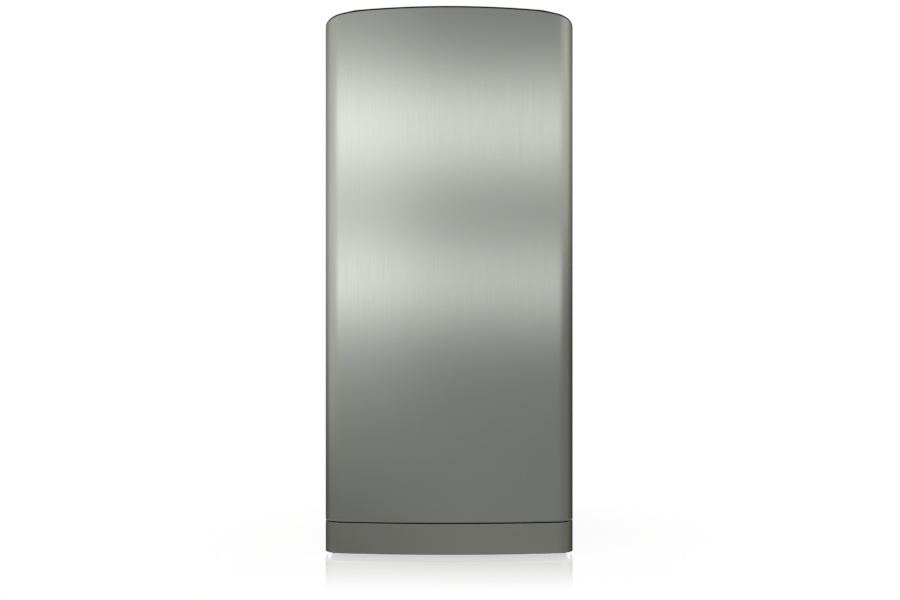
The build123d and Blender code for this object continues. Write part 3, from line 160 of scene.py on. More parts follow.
@dataclass(frozen=True)
class Finish:
    """An opaque material: two close tones in soft clouds under a fine grain.

    Attributes:
        name: What the real material is and how its surface was made.
        tone: Main colour.
        shade: Colour that the clouds fall to.
        roughness: Mean roughness, which the grain moves up and down.
        metallic: One for bare metal.
        ior: Index of refraction of a coating or plastic.
        grain_mm: Width of one grain.
        cloud_mm: Width of one cloud.
        relief_mm: Height of the grain.
        coat: Weight of a clear or glossy top coat.
        shine: Specular level, where a half is what the index of refraction gives.
    """

    name: str
    tone: str
    shade: str
    roughness: float
    metallic: float = 0.0
    ior: float = 1.5
    grain_mm: float = 0.8
    cloud_mm: float = 60.0
    relief_mm: float = 0.02
    coat: float = 0.0
    shine: float = 0.5

    def material(self) -> bpy.types.Material:
        """Make the material on its first use.

        Returns:
            The material, the same one each time.
        """
        made = bpy.data.materials.get(self.name)
        if made:
            return made
        made = bpy.data.materials.new(self.name)
        made.diffuse_color = linear(self.tone)
        tree = empty_tree(made)
        add_node(tree, "OutputMaterial", {"Surface": self.shader(tree)})
        return made

    def clouds(self, tree: Tree, place: Socket) -> Node:
        """Soft clouds, which lead from the tone to the shade."""
        scale = per_metre(self.cloud_mm)
        return add_node(tree, "TexNoise", {"Vector": place, "Scale": scale, "Detail": 3.0, "Roughness": 0.55})

    def grain(self, tree: Tree, place: Socket) -> Node:
        """Fine grain from nought to one."""
        return add_node(tree, "TexNoise", {"Vector": place, "Scale": per_metre(self.grain_mm), "Detail": 2.0})

    def extras(self, tree: Tree) -> dict[str, Any]:
        """Shader inputs of this kind of finish alone; a metal keeps the shader's own index of refraction."""
        return {} if self.metallic else {"IOR": self.ior, "Specular IOR Level": self.shine}

    def shader(self, tree: Tree) -> Node:
        """Build the surface.

        Args:
            tree: Empty node tree of the material.

        Returns:
            The shader node that feeds the output.
        """
        place = add_node(tree, "TexCoord").outputs["Object"]
        grain = self.grain(tree, place)
        smooth = self.roughness * (1 - GRAIN_SWING)
        rough = min(1.0, self.roughness * (1 + GRAIN_SWING))
        tones = {0: self.clouds(tree, place), 6: linear(self.tone), 7: linear(self.shade)}
        inputs = {
            "Base Color": add_node(tree, "Mix", tones, data_type="RGBA").outputs[2],
            "Metallic": self.metallic,
            "Roughness": add_node(tree, "MapRange", {"Value": grain, "To Min": smooth, "To Max": rough}),
            "Normal": add_node(tree, "Bump", {"Height": grain, "Distance": self.relief_mm * MM}),
            "Coat Weight": self.coat,
            "Coat Roughness": COAT_ROUGHNESS,
        }
        return add_node(tree, "BsdfPrincipled", inputs | self.extras(tree))


@dataclass(frozen=True)
class BrushedSteel(Finish):
    """Sheet brushed one way: level bands of light stay sharp up and down and smear across the grain.

    Attributes:
        anisotropy: How much wider the smear is across the grain than along it.
        streak_mm: Length of one scratch along Z.
    """

    anisotropy: float = 0.9
    streak_mm: float = 120.0

    def grain(self, tree: Tree, place: Socket) -> Node:
        """Scratches that run up the sheet.

        Args:
            tree: Node tree of the material.
            place: Position on the piece in metres.

        Returns:
            Noise on the position squeezed along the scratches, in scratch widths.
        """
        across = per_metre(self.grain_mm)
        scale = (across, across, per_metre(self.streak_mm))
        squeezed = add_node(tree, "Mapping", {"Vector": place, "Scale": scale})
        return add_node(tree, "TexNoise", {"Vector": squeezed, "Scale": 1.0, "Detail": 4.0, "Roughness": 0.7})

    def clouds(self, tree: Tree, place: Socket) -> Node:
        """Tone and shade change from scratch to scratch."""
        return self.grain(tree, place)

    def extras(self, tree: Tree) -> dict[str, Any]:
        """The smear lies level, round the upright axis, because the scratches stand upright."""
        tangent = add_node(tree, "Tangent", direction_type="RADIAL", axis="Z")
        return {"Anisotropic": self.anisotropy, "Tangent": tangent}


@dataclass(frozen=True)
class SpangledSheet(Finish):
    """Hot-dip zinc on steel: crystals of slightly different grey."""

    def clouds(self, tree: Tree, place: Socket) -> Node:
        """One grey for each zinc crystal."""
        cells = add_node(tree, "TexVoronoi", {"Vector": place, "Scale": per_metre(self.cloud_mm)})
        return add_node(tree, "SeparateColor", {"Color": cells.outputs["Color"]})


@dataclass(frozen=True)
class BlownFoam(Finish):
    """Rigid foam: round cells that leave a pitted, dull surface."""

    def grain(self, tree: Tree, place: Socket) -> Node:
        """Pits of the cut cells."""
        cells = {"Vector": place, "Scale": per_metre(self.grain_mm)}
        return add_node(tree, "TexVoronoi", cells, feature="SMOOTH_F1")


@dataclass(frozen=True)
class ClearFinish(Finish):
    """Clear glass or plastic: light goes through, with a faint tint and slight waviness."""

    def extras(self, tree: Tree) -> dict[str, Any]:
        """Let the light through the plain surface."""
        return {**super().extras(tree), "Transmission Weight": 1.0}


# The grain of rolled, plated and moulded surfaces is really some tenths of a millimetre or less, and so
# are the cells of foam. That is too fine to show, so these are drawn coarser, from 0.3 to 2 mm.

# Stainless sheet, brushed upright at the mill: upright streaks that smear the light sideways. The real
# scratches are far under a millimetre, too fine to show, so they are drawn about 3 mm wide.
BRUSHED = {"metallic": 1.0, "grain_mm": 3.0, "relief_mm": 0.0025}
STEEL = BrushedSteel("brushed_stainless_sheet", "#CED1CA", "#C7CAC3", 0.17, **BRUSHED)
# The same sheet on the plinth, brushed duller, with a wider smear.
PLINTH_STEEL = BrushedSteel("dull_brushed_sheet", "#C9C9C1", "#C1C1B9", 0.22, **BRUSHED)
# Silver-grey polyester powder: a slight orange peel of about 2 mm.
POWDER_COAT = Finish(
    "silver_powder_coat", "#B4B6B4", "#AEB0AE", roughness=0.42, grain_mm=2.0, cloud_mm=180.0, relief_mm=0.03
)
# Hot-dip galvanised sheet: crystals about 12 mm across.
GALVANISED = SpangledSheet(
    "hot_dip_galvanised", "#B9BDBF", "#A3A8AB",
    roughness=0.42, metallic=1.0, grain_mm=1.2, cloud_mm=12.0, relief_mm=0.008,
)
# Zinc-plated pressed steel: bright and faintly blue.
ZINC = Finish(
    "zinc_plated_steel", "#C6C9CB", "#B2B6B8",
    roughness=0.32, metallic=1.0, grain_mm=0.9, cloud_mm=15.0, relief_mm=0.006,
)
# Black ABS from a spark-eroded mould: a fine dull grain.
BLACK_ABS = Finish(
    "black_moulded_abs", "#1B1C1D", "#232425",
    roughness=0.46, ior=1.54, grain_mm=0.9, cloud_mm=70.0, relief_mm=0.03,
)
# Silver-grey ABS with a satin grain, drawn a dark grey that copies the steel's shaded look at the door's
# foot: painted shade.
SHADED_SILVER_ABS = Finish("silver_moulded_abs_painted_shade", "#656560", "#5F5F5B", roughness=0.38, ior=1.54, grain_mm=0.6)
# Vacuum-formed high-impact polystyrene: bright white and softly glossy, with a faint waviness.
WHITE_LINER = Finish(
    "vacuum_formed_polystyrene", "#EBEDEC", "#E5E8E7",
    roughness=0.3, ior=1.59, grain_mm=24.0, cloud_mm=160.0, relief_mm=0.025,
)
# White ABS, moulded: a little warmer and duller than the liner.
WHITE_ABS = Finish("white_moulded_abs", "#E7E7E3", "#E0E1DC", roughness=0.36, ior=1.54, grain_mm=0.9)
# Rigid polyurethane: straw-yellow and dull, pitted by its cells.
FOAM = BlownFoam(
    "rigid_polyurethane_foam", "#E2CF9C", "#D6BF86", roughness=0.9, grain_mm=1.5, cloud_mm=40.0, relief_mm=0.5
)
# Extruded soft PVC: pale grey and dull.
SOFT_PVC = Finish(
    "extruded_soft_pvc", "#C2C4C3", "#B7B9B8", roughness=0.52, ior=1.53, grain_mm=1.2, cloud_mm=45.0
)
# Toughened float glass: clear and flat, with a faint green tint.
FLOAT_GLASS = ClearFinish(
    "toughened_float_glass", "#E9F5F0", "#E3F2EB",
    roughness=0.02, ior=1.52, grain_mm=20.0, cloud_mm=200.0, relief_mm=0.001,
)
# Clear general-purpose polystyrene: a cold, slightly wavy moulding.
CLEAR_STYRENE = ClearFinish(
    "clear_moulded_polystyrene", "#EEF4F7", "#E8F0F4", roughness=0.06, ior=1.59, grain_mm=14.0, cloud_mm=120.0
)
# Roll-bonded aluminium: soft, pale and finely rolled.
ROLL_BOND = Finish(
    "roll_bonded_aluminium", "#D5D8DA", "#C8CCCF",
    roughness=0.36, metallic=1.0, grain_mm=1.5, cloud_mm=35.0, relief_mm=0.012,
)
# Turned acetal: a waxy off-white.
ACETAL = Finish(
    "turned_acetal", "#E4E1D6", "#DAD7CA",
    roughness=0.4, ior=1.48, grain_mm=0.7, cloud_mm=12.0, relief_mm=0.01,
)
# Black stoved enamel: deep and glossy with a slight orange peel.
ENAMEL = Finish(
    "black_stoved_enamel", "#131416", "#1B1D20",
    roughness=0.34, ior=1.52, grain_mm=3.0, cloud_mm=50.0, relief_mm=0.04, coat=0.5,
)
# Moulded rubber: dead matt, because its skin traps the light.
RUBBER = Finish(
    "moulded_black_rubber", "#0E0E0E", "#171716",
    roughness=0.78, ior=1.52, cloud_mm=18.0, relief_mm=0.05, shine=0.15,
)
# Steel wire and tube dipped in black paint, which gathers a little dust.
DIPPED_PAINT = Finish("dipped_black_paint", "#17181A", "#242527", roughness=0.4, grain_mm=1.5, relief_mm=0.03)
# Drawn copper, browned by air and heat.
COPPER = Finish(
    "drawn_copper", "#C9805A", "#A9623F",
    roughness=0.3, metallic=1.0, grain_mm=2.0, cloud_mm=22.0, relief_mm=0.008,
)
# Blown lamp glass: clear, faintly warm and slightly uneven.
LAMP_GLASS = ClearFinish(
    "blown_lamp_glass", "#F8F6F0", "#F5F2EA", roughness=0.01, grain_mm=8.0, cloud_mm=30.0, relief_mm=0.001
)
# Pressed brass: yellow, bright and a little cloudy.
BRASS = Finish(
    "pressed_brass", "#C9A862", "#B69550", roughness=0.28, metallic=1.0, cloud_mm=6.0, relief_mm=0.004
)
# Moulded nylon: dark grey and satin.
NYLON = Finish(
    "moulded_grey_nylon", "#47484A", "#3F4042", roughness=0.5, ior=1.53, cloud_mm=15.0, relief_mm=0.03
)
# Printed ink: a flat, dull grey.
INK = Finish(
    "printed_grey_ink", "#5D6366", "#565C5F", roughness=0.5, grain_mm=0.4, cloud_mm=10.0, relief_mm=0.002
)
# Drawn tungsten: a dark, slightly dull grey metal.
TUNGSTEN = Finish(
    "drawn_tungsten", "#9A9894", "#8A8884",
    roughness=0.35, metallic=1.0, grain_mm=0.3, cloud_mm=5.0, relief_mm=0.001,
)

FINISH_OF_SLOT = {
    "brushed_stainless": STEEL,
    "silver_plinth": PLINTH_STEEL,
    "case_paint": POWDER_COAT,
    "galvanised_steel": GALVANISED,
    "black_plastic": BLACK_ABS,
    "white_liner": WHITE_LINER,
    "foam": FOAM,
    "gasket": SOFT_PVC,
    "shelf_glass": FLOAT_GLASS,
    "clear_plastic": CLEAR_STYRENE,
    "white_plastic": WHITE_ABS,
    "evaporator": ROLL_BOND,
    "hinge_steel": ZINC,
    "bush_plastic": ACETAL,
    "compressor_black": ENAMEL,
    "rubber_black": RUBBER,
    "condenser_black": DIPPED_PAINT,
    "copper": COPPER,
    "lamp_glass": LAMP_GLASS,
    "roller_plastic": NYLON,
    # The silver plastic's dark grey is painted shade.
    "silver_plastic": SHADED_SILVER_ABS,
}


class Edge(Enum):
    """How the edges of a piece were made, with their radius in millimetres."""

    CRISP = 0.15
    SHEARED = 0.25
    PRESSED = 0.6
    MOULDED = 0.7
    GROUND = 0.5
    FORMED = 0.9


class Shape:
    """Points and faces gathered for one piece, in metres in the fridge's frame."""

    # Depth of a thread and heights of the four points of its profile, as shares of the pitch.
    thread_depth = 0.61
    thread_rises = (0.0, 0.44, 0.56, 1.0)

    def __init__(self) -> None:
        """Start empty."""
        self.points: list[Point] = []
        self.faces: list[tuple[int, ...]] = []

    def add(self, points: Sequence[Point], faces: Sequence[Sequence[int]]) -> None:
        """Take in more points and the faces between them.

        Args:
            points: Points to add.
            faces: Faces, by the place of their corners among these points.
        """
        start = len(self.points)
        self.points += [tuple(point) for point in points]
        self.faces += [tuple(start + index for index in face) for face in faces]

    def lathe(self, profile: Profile, place: Matrix, segments: int) -> None:
        """Turn a profile about the local Z axis.

        Args:
            profile: Radius and height of each point, outwards side up.
            place: Where the turned form stands.
            segments: Flats round the form.
        """
        points = []
        for step in range(segments):
            angle = 2 * math.pi * step / segments
            points += [place @ Vector((r * math.cos(angle), r * math.sin(angle), h)) for r, h in profile]
        rows = len(profile)
        faces = []
        for step in range(segments):
            near = step * rows
            far = (step + 1) % segments * rows
            faces += [(near + row, far + row, far + row + 1, near + row + 1) for row in range(rows - 1)]
        self.add(points, faces)

    def thread(self, radius: float, pitch: float, length: float, place: Matrix, segments: int = 24) -> None:
        """Wind a screw thread about the local Z axis, over a core with closed ends.

        Args:
            radius: Radius over the crests.
            pitch: Rise of one turn.
            length: Length of the thread.
            place: Where its lower end stands.
            segments: Steps in one turn.
        """
        root = radius - self.thread_depth * pitch
        steps = int((length / pitch - 1) * segments)
        points = []
        for step in range(steps + 1):
            angle = 2 * math.pi * step / segments
            rise = pitch * step / segments
            for reach, lift in zip((root, radius, radius, root), self.thread_rises):
                spot = Vector((reach * math.cos(angle), reach * math.sin(angle), rise + lift * pitch))
                points.append(place @ spot)
        faces = []
        for step in range(steps):
            near = 4 * step
            faces += [(near + row, near + row + 4, near + row + 5, near + row + 1) for row in range(3)]
        end = 4 * steps
        self.add(points, [*faces, (0, 1, 2, 3), (end + 3, end + 2, end + 1, end)])
        self.lathe([(0.0, 0.0), (root, 0.0), (root, length), (0.0, length)], place, segments)

    def ring(self, profile: Profile, half: float, low: float, high: float) -> None:
        """Run a closed profile round an upright rectangle with mitred corners.

        Args:
            profile: Distance in from the outer edge, and depth along Y, of each point.
            half: Half width of the rectangle's outer edge.
            low: Bottom of the outer edge.
            high: Top of the outer edge.
        """
        points = []
        for side, end in ((-1, low), (1, low), (1, high), (-1, high)):
            up = 1 if end == low else -1
            points += [(side * (half - inward), depth, end + up * inward) for inward, depth in profile]
        rows = len(profile)
        faces = []
        for corner in range(4):
            near = corner * rows
            far = (corner + 1) % 4 * rows
            for row in range(rows):
                after = (row + 1) % rows
                faces.append((near + row, far + row, far + after, near + after))
        self.add(points, faces)

    def slab(self, plan: Plan, low: float, high: float) -> None:
        """Draw a plan outline up into a flat slab.

        Args:
            plan: Corners of the outline.
            low: Bottom of the slab.
            high: Top of the slab.
        """
        count = len(plan)
        points = [(x, y, z) for z in (low, high) for x, y in plan]
        sides = [(i, (i + 1) % count, count + (i + 1) % count, count + i) for i in range(count)]
        self.add(points, [tuple(reversed(range(count))), tuple(range(count, 2 * count)), *sides])

    def mesh(self, name: str) -> Mesh:
        """Weld the gathered points into a mesh with outward faces.

        Args:
            name: Name of the mesh.

        Returns:
            The mesh.
        """
        mesh = bpy.data.meshes.new(name)
        mesh.from_pydata(self.points, [], self.faces)
        weld(mesh)
        return mesh


def weld(mesh: Mesh, flat_angle: float = 0.0) -> None:
    """Join points that coincide, drop empty faces and turn the rest outwards.

    Args:
        mesh: Mesh to mend in place.
        flat_angle: Faces that meet at less than this many degrees become one.
    """
    form = bmesh.new()
    form.from_mesh(mesh)
    bmesh.ops.remove_doubles(form, verts=form.verts, dist=TOUCH)
    bmesh.ops.dissolve_degenerate(form, edges=form.edges, dist=TOUCH / 2)
    if flat_angle:
        limit = math.radians(flat_angle)
        bmesh.ops.dissolve_limit(form, angle_limit=limit, verts=form.verts, edges=form.edges)
    bmesh.ops.recalc_face_normals(form, faces=form.faces)
    form.to_mesh(mesh)
    form.free()


def drop_loose(mesh: Mesh) -> None:
    """Delete the points that no face uses.

    Args:
        mesh: Mesh to mend in place.
    """
    form = bmesh.new()
    form.from_mesh(mesh)
    bmesh.ops.delete(form, geom=[v for v in form.verts if not v.link_faces], context="VERTS")
    form.to_mesh(mesh)
    form.free()


def box_plan(x0: float, x1: float, y0: float, y1: float) -> Plan:
    """Corners of a rectangle in plan."""
    return [(x0, y0), (x1, y0), (x1, y1), (x0, y1)]


def dress(piece: Piece, finish: Finish) -> None:
    """Give a piece its finish; a clear one throws no black shade, as thin glass throws none.

    Args:
        piece: Piece to dress.
        finish: What it is made of.
    """
    piece.data.materials.clear()
    piece.data.materials.append(finish.material())
    clear = isinstance(finish, ClearFinish)
    piece.visible_shadow = not clear
    piece.visible_diffuse = not clear


def placed(name: str, data: bpy.types.ID) -> Piece:
    """Put a mesh, curve, lamp or camera into the scene.

    Args:
        name: Name of the object.
        data: What it shows.

    Returns:
        The object.
    """
    piece = bpy.data.objects.new(name, data)
    bpy.context.scene.collection.objects.link(piece)
    return piece


def show(mesh: Mesh, body: str, finish: Finish, sharp: float = 30.0) -> Piece:
    """Put a mesh into the scene as one piece.

    Args:
        mesh: Finished mesh, whose name the piece takes.
        body: Body that the piece moves with.
        finish: What the piece is made of.
        sharp: Edges over this many degrees stay sharp.

    Returns:
        The piece.
    """
    mesh.shade_smooth()
    mesh.set_sharp_from_angle(angle=math.radians(sharp))
    piece = placed(mesh.name, mesh)
    dress(piece, finish)
    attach(piece, body)
    LOG.info("%s rides on %s", piece.name, body)
    return piece


def stand_for(node: str, mesh: Mesh, sharp: float = 30.0) -> Piece:
    """Show a mesh in place of a CAD node, on its body and with its finish.

    Args:
        node: CAD node to stand for.
        mesh: Finished mesh, whose name the piece takes.
        sharp: Edges over this many degrees stay sharp.

    Returns:
        The piece.
    """
    slot = SLOT_OF[node]
    piece = show(mesh, BODY_OF[node], FINISH_OF_SLOT[slot], sharp)
    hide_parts(node)
    return piece


def round_edges(piece: Piece, edge: Edge) -> None:
    """Round the sharp edges of a piece and keep its flats flat.

    Args:
        piece: Piece to finish.
        edge: How its edges were made.
    """
    bevel = piece.modifiers.new("edges", "BEVEL")
    bevel.width = edge.value * MM
    bevel.segments = 2
    bevel.limit_method = "ANGLE"
    bevel.angle_limit = math.radians(ROUNDED_ANGLE)
    bevel.use_clamp_overlap = False
    bevel.loop_slide = False
    weighted = piece.modifiers.new("flats", "WEIGHTED_NORMAL")
    weighted.keep_sharp = True


def soften(edge: Edge, *nodes: str) -> None:
    """Show CAD nodes with clean flats and rounded edges.

    Args:
        edge: How their edges were made.
        *nodes: CAD nodes to stand for.
    """
    for node in nodes:
        source = frame["nodes"][node].data
        mesh = bpy.data.meshes.new(f"{node}_form")
        points = [vertex.co[:] for vertex in source.vertices]
        mesh.from_pydata(points, [], [face.vertices[:] for face in source.polygons])
        weld(mesh, FLAT_ANGLE)
        round_edges(stand_for(node, mesh), edge)


def islands(node: str) -> list[list[Point]]:
    """Tell the separate solids of a CAD node apart.

    Args:
        node: CAD node to look at.

    Returns:
        The points of each solid.
    """
    form = bmesh.new()
    form.from_mesh(frame["nodes"][node].data)
    bmesh.ops.remove_doubles(form, verts=form.verts, dist=TOUCH)
    left = set(form.verts)
    found = []
    while left:
        front = [left.pop()]
        group = []
        while front:
            point = front.pop()
            group.append(point.co[:])
            linked = {edge.other_vert(point) for edge in point.link_edges} & left
            left -= linked
            front += linked
        found.append(group)
    form.free()
    return sorted(found)


def box_of(points: Sequence[Point]) -> tuple[Vector, Vector]:
    """Find the box round some points.

    Args:
        points: Points to enclose.

    Returns:
        Its low and its high corner.
    """
    low = Vector(min(values) for values in zip(*points))
    high = Vector(max(values) for values in zip(*points))
    return low, high


def carved(mesh: Mesh, cutter: Mesh) -> Mesh:
    """Cut one mesh out of another.

    Args:
        mesh: Closed mesh to cut, which is used up.
        cutter: Closed mesh that is taken away, which is used up too.

    Returns:
        What is left, under the first mesh's name.
    """
    name = mesh.name
    blank = placed("blank", mesh)
    tool = placed("tool", cutter)
    cut = blank.modifiers.new("cut", "BOOLEAN")
    cut.operation = "DIFFERENCE"
    cut.solver = "EXACT"
    cut.object = tool
    graph = bpy.context.evaluated_depsgraph_get()
    result = bpy.data.meshes.new_from_object(blank.evaluated_get(graph))
    bpy.data.objects.remove(blank)
    bpy.data.objects.remove(tool)
    bpy.data.meshes.remove(mesh)
    bpy.data.meshes.remove(cutter)
    result.name = name
    return result


def rounded(points: Sequence[Point], radius: float, steps: int = 6) -> list[Vector]:
    """Turn the corners of a path into smooth bends.

    Args:
        points: Corners of the path.
        radius: Distance from each corner at which its bend starts.
        steps: Points in each bend.

    Returns:
        The points of the smooth path.
    """
    corners = [Vector(point) for point in points]
    path = [corners[0]]
    for before, corner, after in zip(corners, corners[1:], corners[2:]):
        start = corner + (before - corner).normalized() * radius
        end = corner + (after - corner).normalized() * radius
        for step in range(steps + 1):
            share = step / steps
            path.append(start.lerp(corner, share).lerp(corner.lerp(end, share), share))
    return path + [corners[-1]]


def tube(name: str, path: Sequence[Vector], radius: float, sides: int = 2) -> Mesh:
    """Draw a round bar along a path.

    Args:
        name: Name of the mesh.
        path: Points of the bar's middle line.
        radius: Radius of the bar.
        sides: Fineness of its roundness.

    Returns:
        The closed bar.
    """
    curve = bpy.data.curves.new(name, "CURVE")
    curve.dimensions = "3D"
    curve.bevel_depth = radius
    curve.bevel_resolution = sides
    curve.use_fill_caps = True
    spline = curve.splines.new("POLY")
    spline.points.add(len(path) - 1)
    for spot, point in zip(spline.points, path):
        spot.co = (*point, 1.0)
    return drawn(name, curve)


def drawn(name: str, curve: bpy.types.Curve, place: Matrix = Matrix()) -> Mesh:
    """Turn a curve or text into a mesh at its place.

    Args:
        name: Name of the mesh.
        curve: Curve or text, which is used up.
        place: Where it stands.

    Returns:
        The mesh, with its place in its points.
    """
    holder = placed(name, curve)
    graph = bpy.context.evaluated_depsgraph_get()
    mesh = bpy.data.meshes.new_from_object(holder.evaluated_get(graph))
    bpy.data.objects.remove(holder)
    bpy.data.curves.remove(curve)
    mesh.name = name
    mesh.transform(place)
    weld(mesh)
    return mesh


def upright(x: float, y: float, z: float) -> Matrix:
    """Place for a form whose axis points up."""
    return Matrix.Translation((x, y, z))


def facing(x: float, y: float, z: float) -> Matrix:
    """Place for a form whose axis points to the front."""
    return Matrix.Translation((x, y, z)) @ Matrix.Rotation(math.pi / 2, 4, "X")


def rearward(x: float, y: float, z: float) -> Matrix:
    """Place for a form whose axis points to the back."""
    return Matrix.Translation((x, y, z)) @ Matrix.Rotation(-math.pi / 2, 4, "X")


@dataclass(frozen=True)
class BowedPlan:
    """Plan of the bowed front: a long bow between two tight corners, with straight sides.

    Attributes:
        half: Half width over the sides.
        crown: Depth of the foremost point.
        bow: Radius of the long bow.
        corner: Radius of the two corners.
        bow_steps: Steps from the middle of the bow to a corner.
        corner_steps: Steps round a corner.
    """

    half: float
    crown: float
    bow: float = 1500 * MM
    corner: float = 45 * MM
    bow_steps: int = 24
    corner_steps: int = 20

    def turn(self) -> float:
        """Angle at which the bow runs into a corner."""
        return math.asin((self.half - self.corner) / (self.bow - self.corner))

    def tangent(self) -> float:
        """Depth at which a corner runs into the side."""
        return self.crown + self.bow - (self.bow - self.corner) * math.cos(self.turn())

    def inset(self, by: float) -> "BowedPlan":
        """The same plan drawn in on every side."""
        return BowedPlan(self.half - by, self.crown + by, self.bow - by, self.corner - by)

    def columns(self, stops: Sequence[float], ridge: float = 0.0) -> Plan:
        """Points along the front, from the left side's back end to the right side's.

        Args:
            stops: Depths that need a point of their own, the last being the back.
            ridge: Distance from the middle that needs a point of its own on the bow.

        Returns:
            The points in plan.
        """
        turn = self.turn()
        tangent = self.tangent()
        right = []
        bow = {turn * step / self.bow_steps for step in range(self.bow_steps + 1)}
        for angle in sorted(bow | {math.asin(ridge / self.bow)}):
            right.append((self.bow * math.sin(angle), self.crown + self.bow * (1 - math.cos(angle))))
        rest = math.pi / 2 - turn
        angles = [turn + rest * step / self.corner_steps for step in range(1, self.corner_steps + 1)]
        angles += [math.acos((tangent - stop) / self.corner) for stop in stops if stop < tangent]
        for angle in sorted(angles):
            x = self.half - self.corner + self.corner * math.sin(angle)
            right.append((x, tangent - self.corner * math.cos(angle)))
        right += [(self.half, stop) for stop in sorted(stops) if stop > tangent]
        return [(-x, y) for x, y in reversed(right[1:])] + right


def sheet(
    name: str,
    sides: tuple[Plan, Plan],
    heights: Sequence[Sequence[float]],
    notch: tuple[int, int, int, int] = (0, 0, 0, 0),
) -> Mesh:
    """Make an upright sheet with a wall.

    Args:
        name: Name of the mesh.
        sides: Points of the outer and the inner side in plan, from left to right.
        heights: Heights of the points of each column, from the bottom up.
        notch: First and last column, then first and last row, of a cut-out.

    Returns:
        The closed sheet.
    """
    starts = [sum(len(levels) for levels in heights[:column]) for column in range(len(heights))]
    faces = []
    for column in range(len(heights) - 1):
        shared = min(len(heights[column]), len(heights[column + 1]))
        for row in range(shared - 1):
            if notch[0] <= column < notch[1] and notch[2] <= row < notch[3]:
                continue
            near = starts[column] + row
            far = starts[column + 1] + row
            faces.append((near, far, far + 1, near + 1))
    points = [(x, y, z) for plan in sides for (x, y), levels in zip(plan, heights) for z in levels]
    inner = len(points) // 2
    edges = {(face[i], face[(i + 1) % 4]) for face in faces for i in range(4)}
    rims = [(b, a, a + inner, b + inner) for a, b in edges if (b, a) not in edges]
    backs = [tuple(index + inner for index in reversed(face)) for face in faces]
    mesh = bpy.data.meshes.new(name)
    mesh.from_pydata(points, [], faces + backs + sorted(rims))
    drop_loose(mesh)
    return mesh


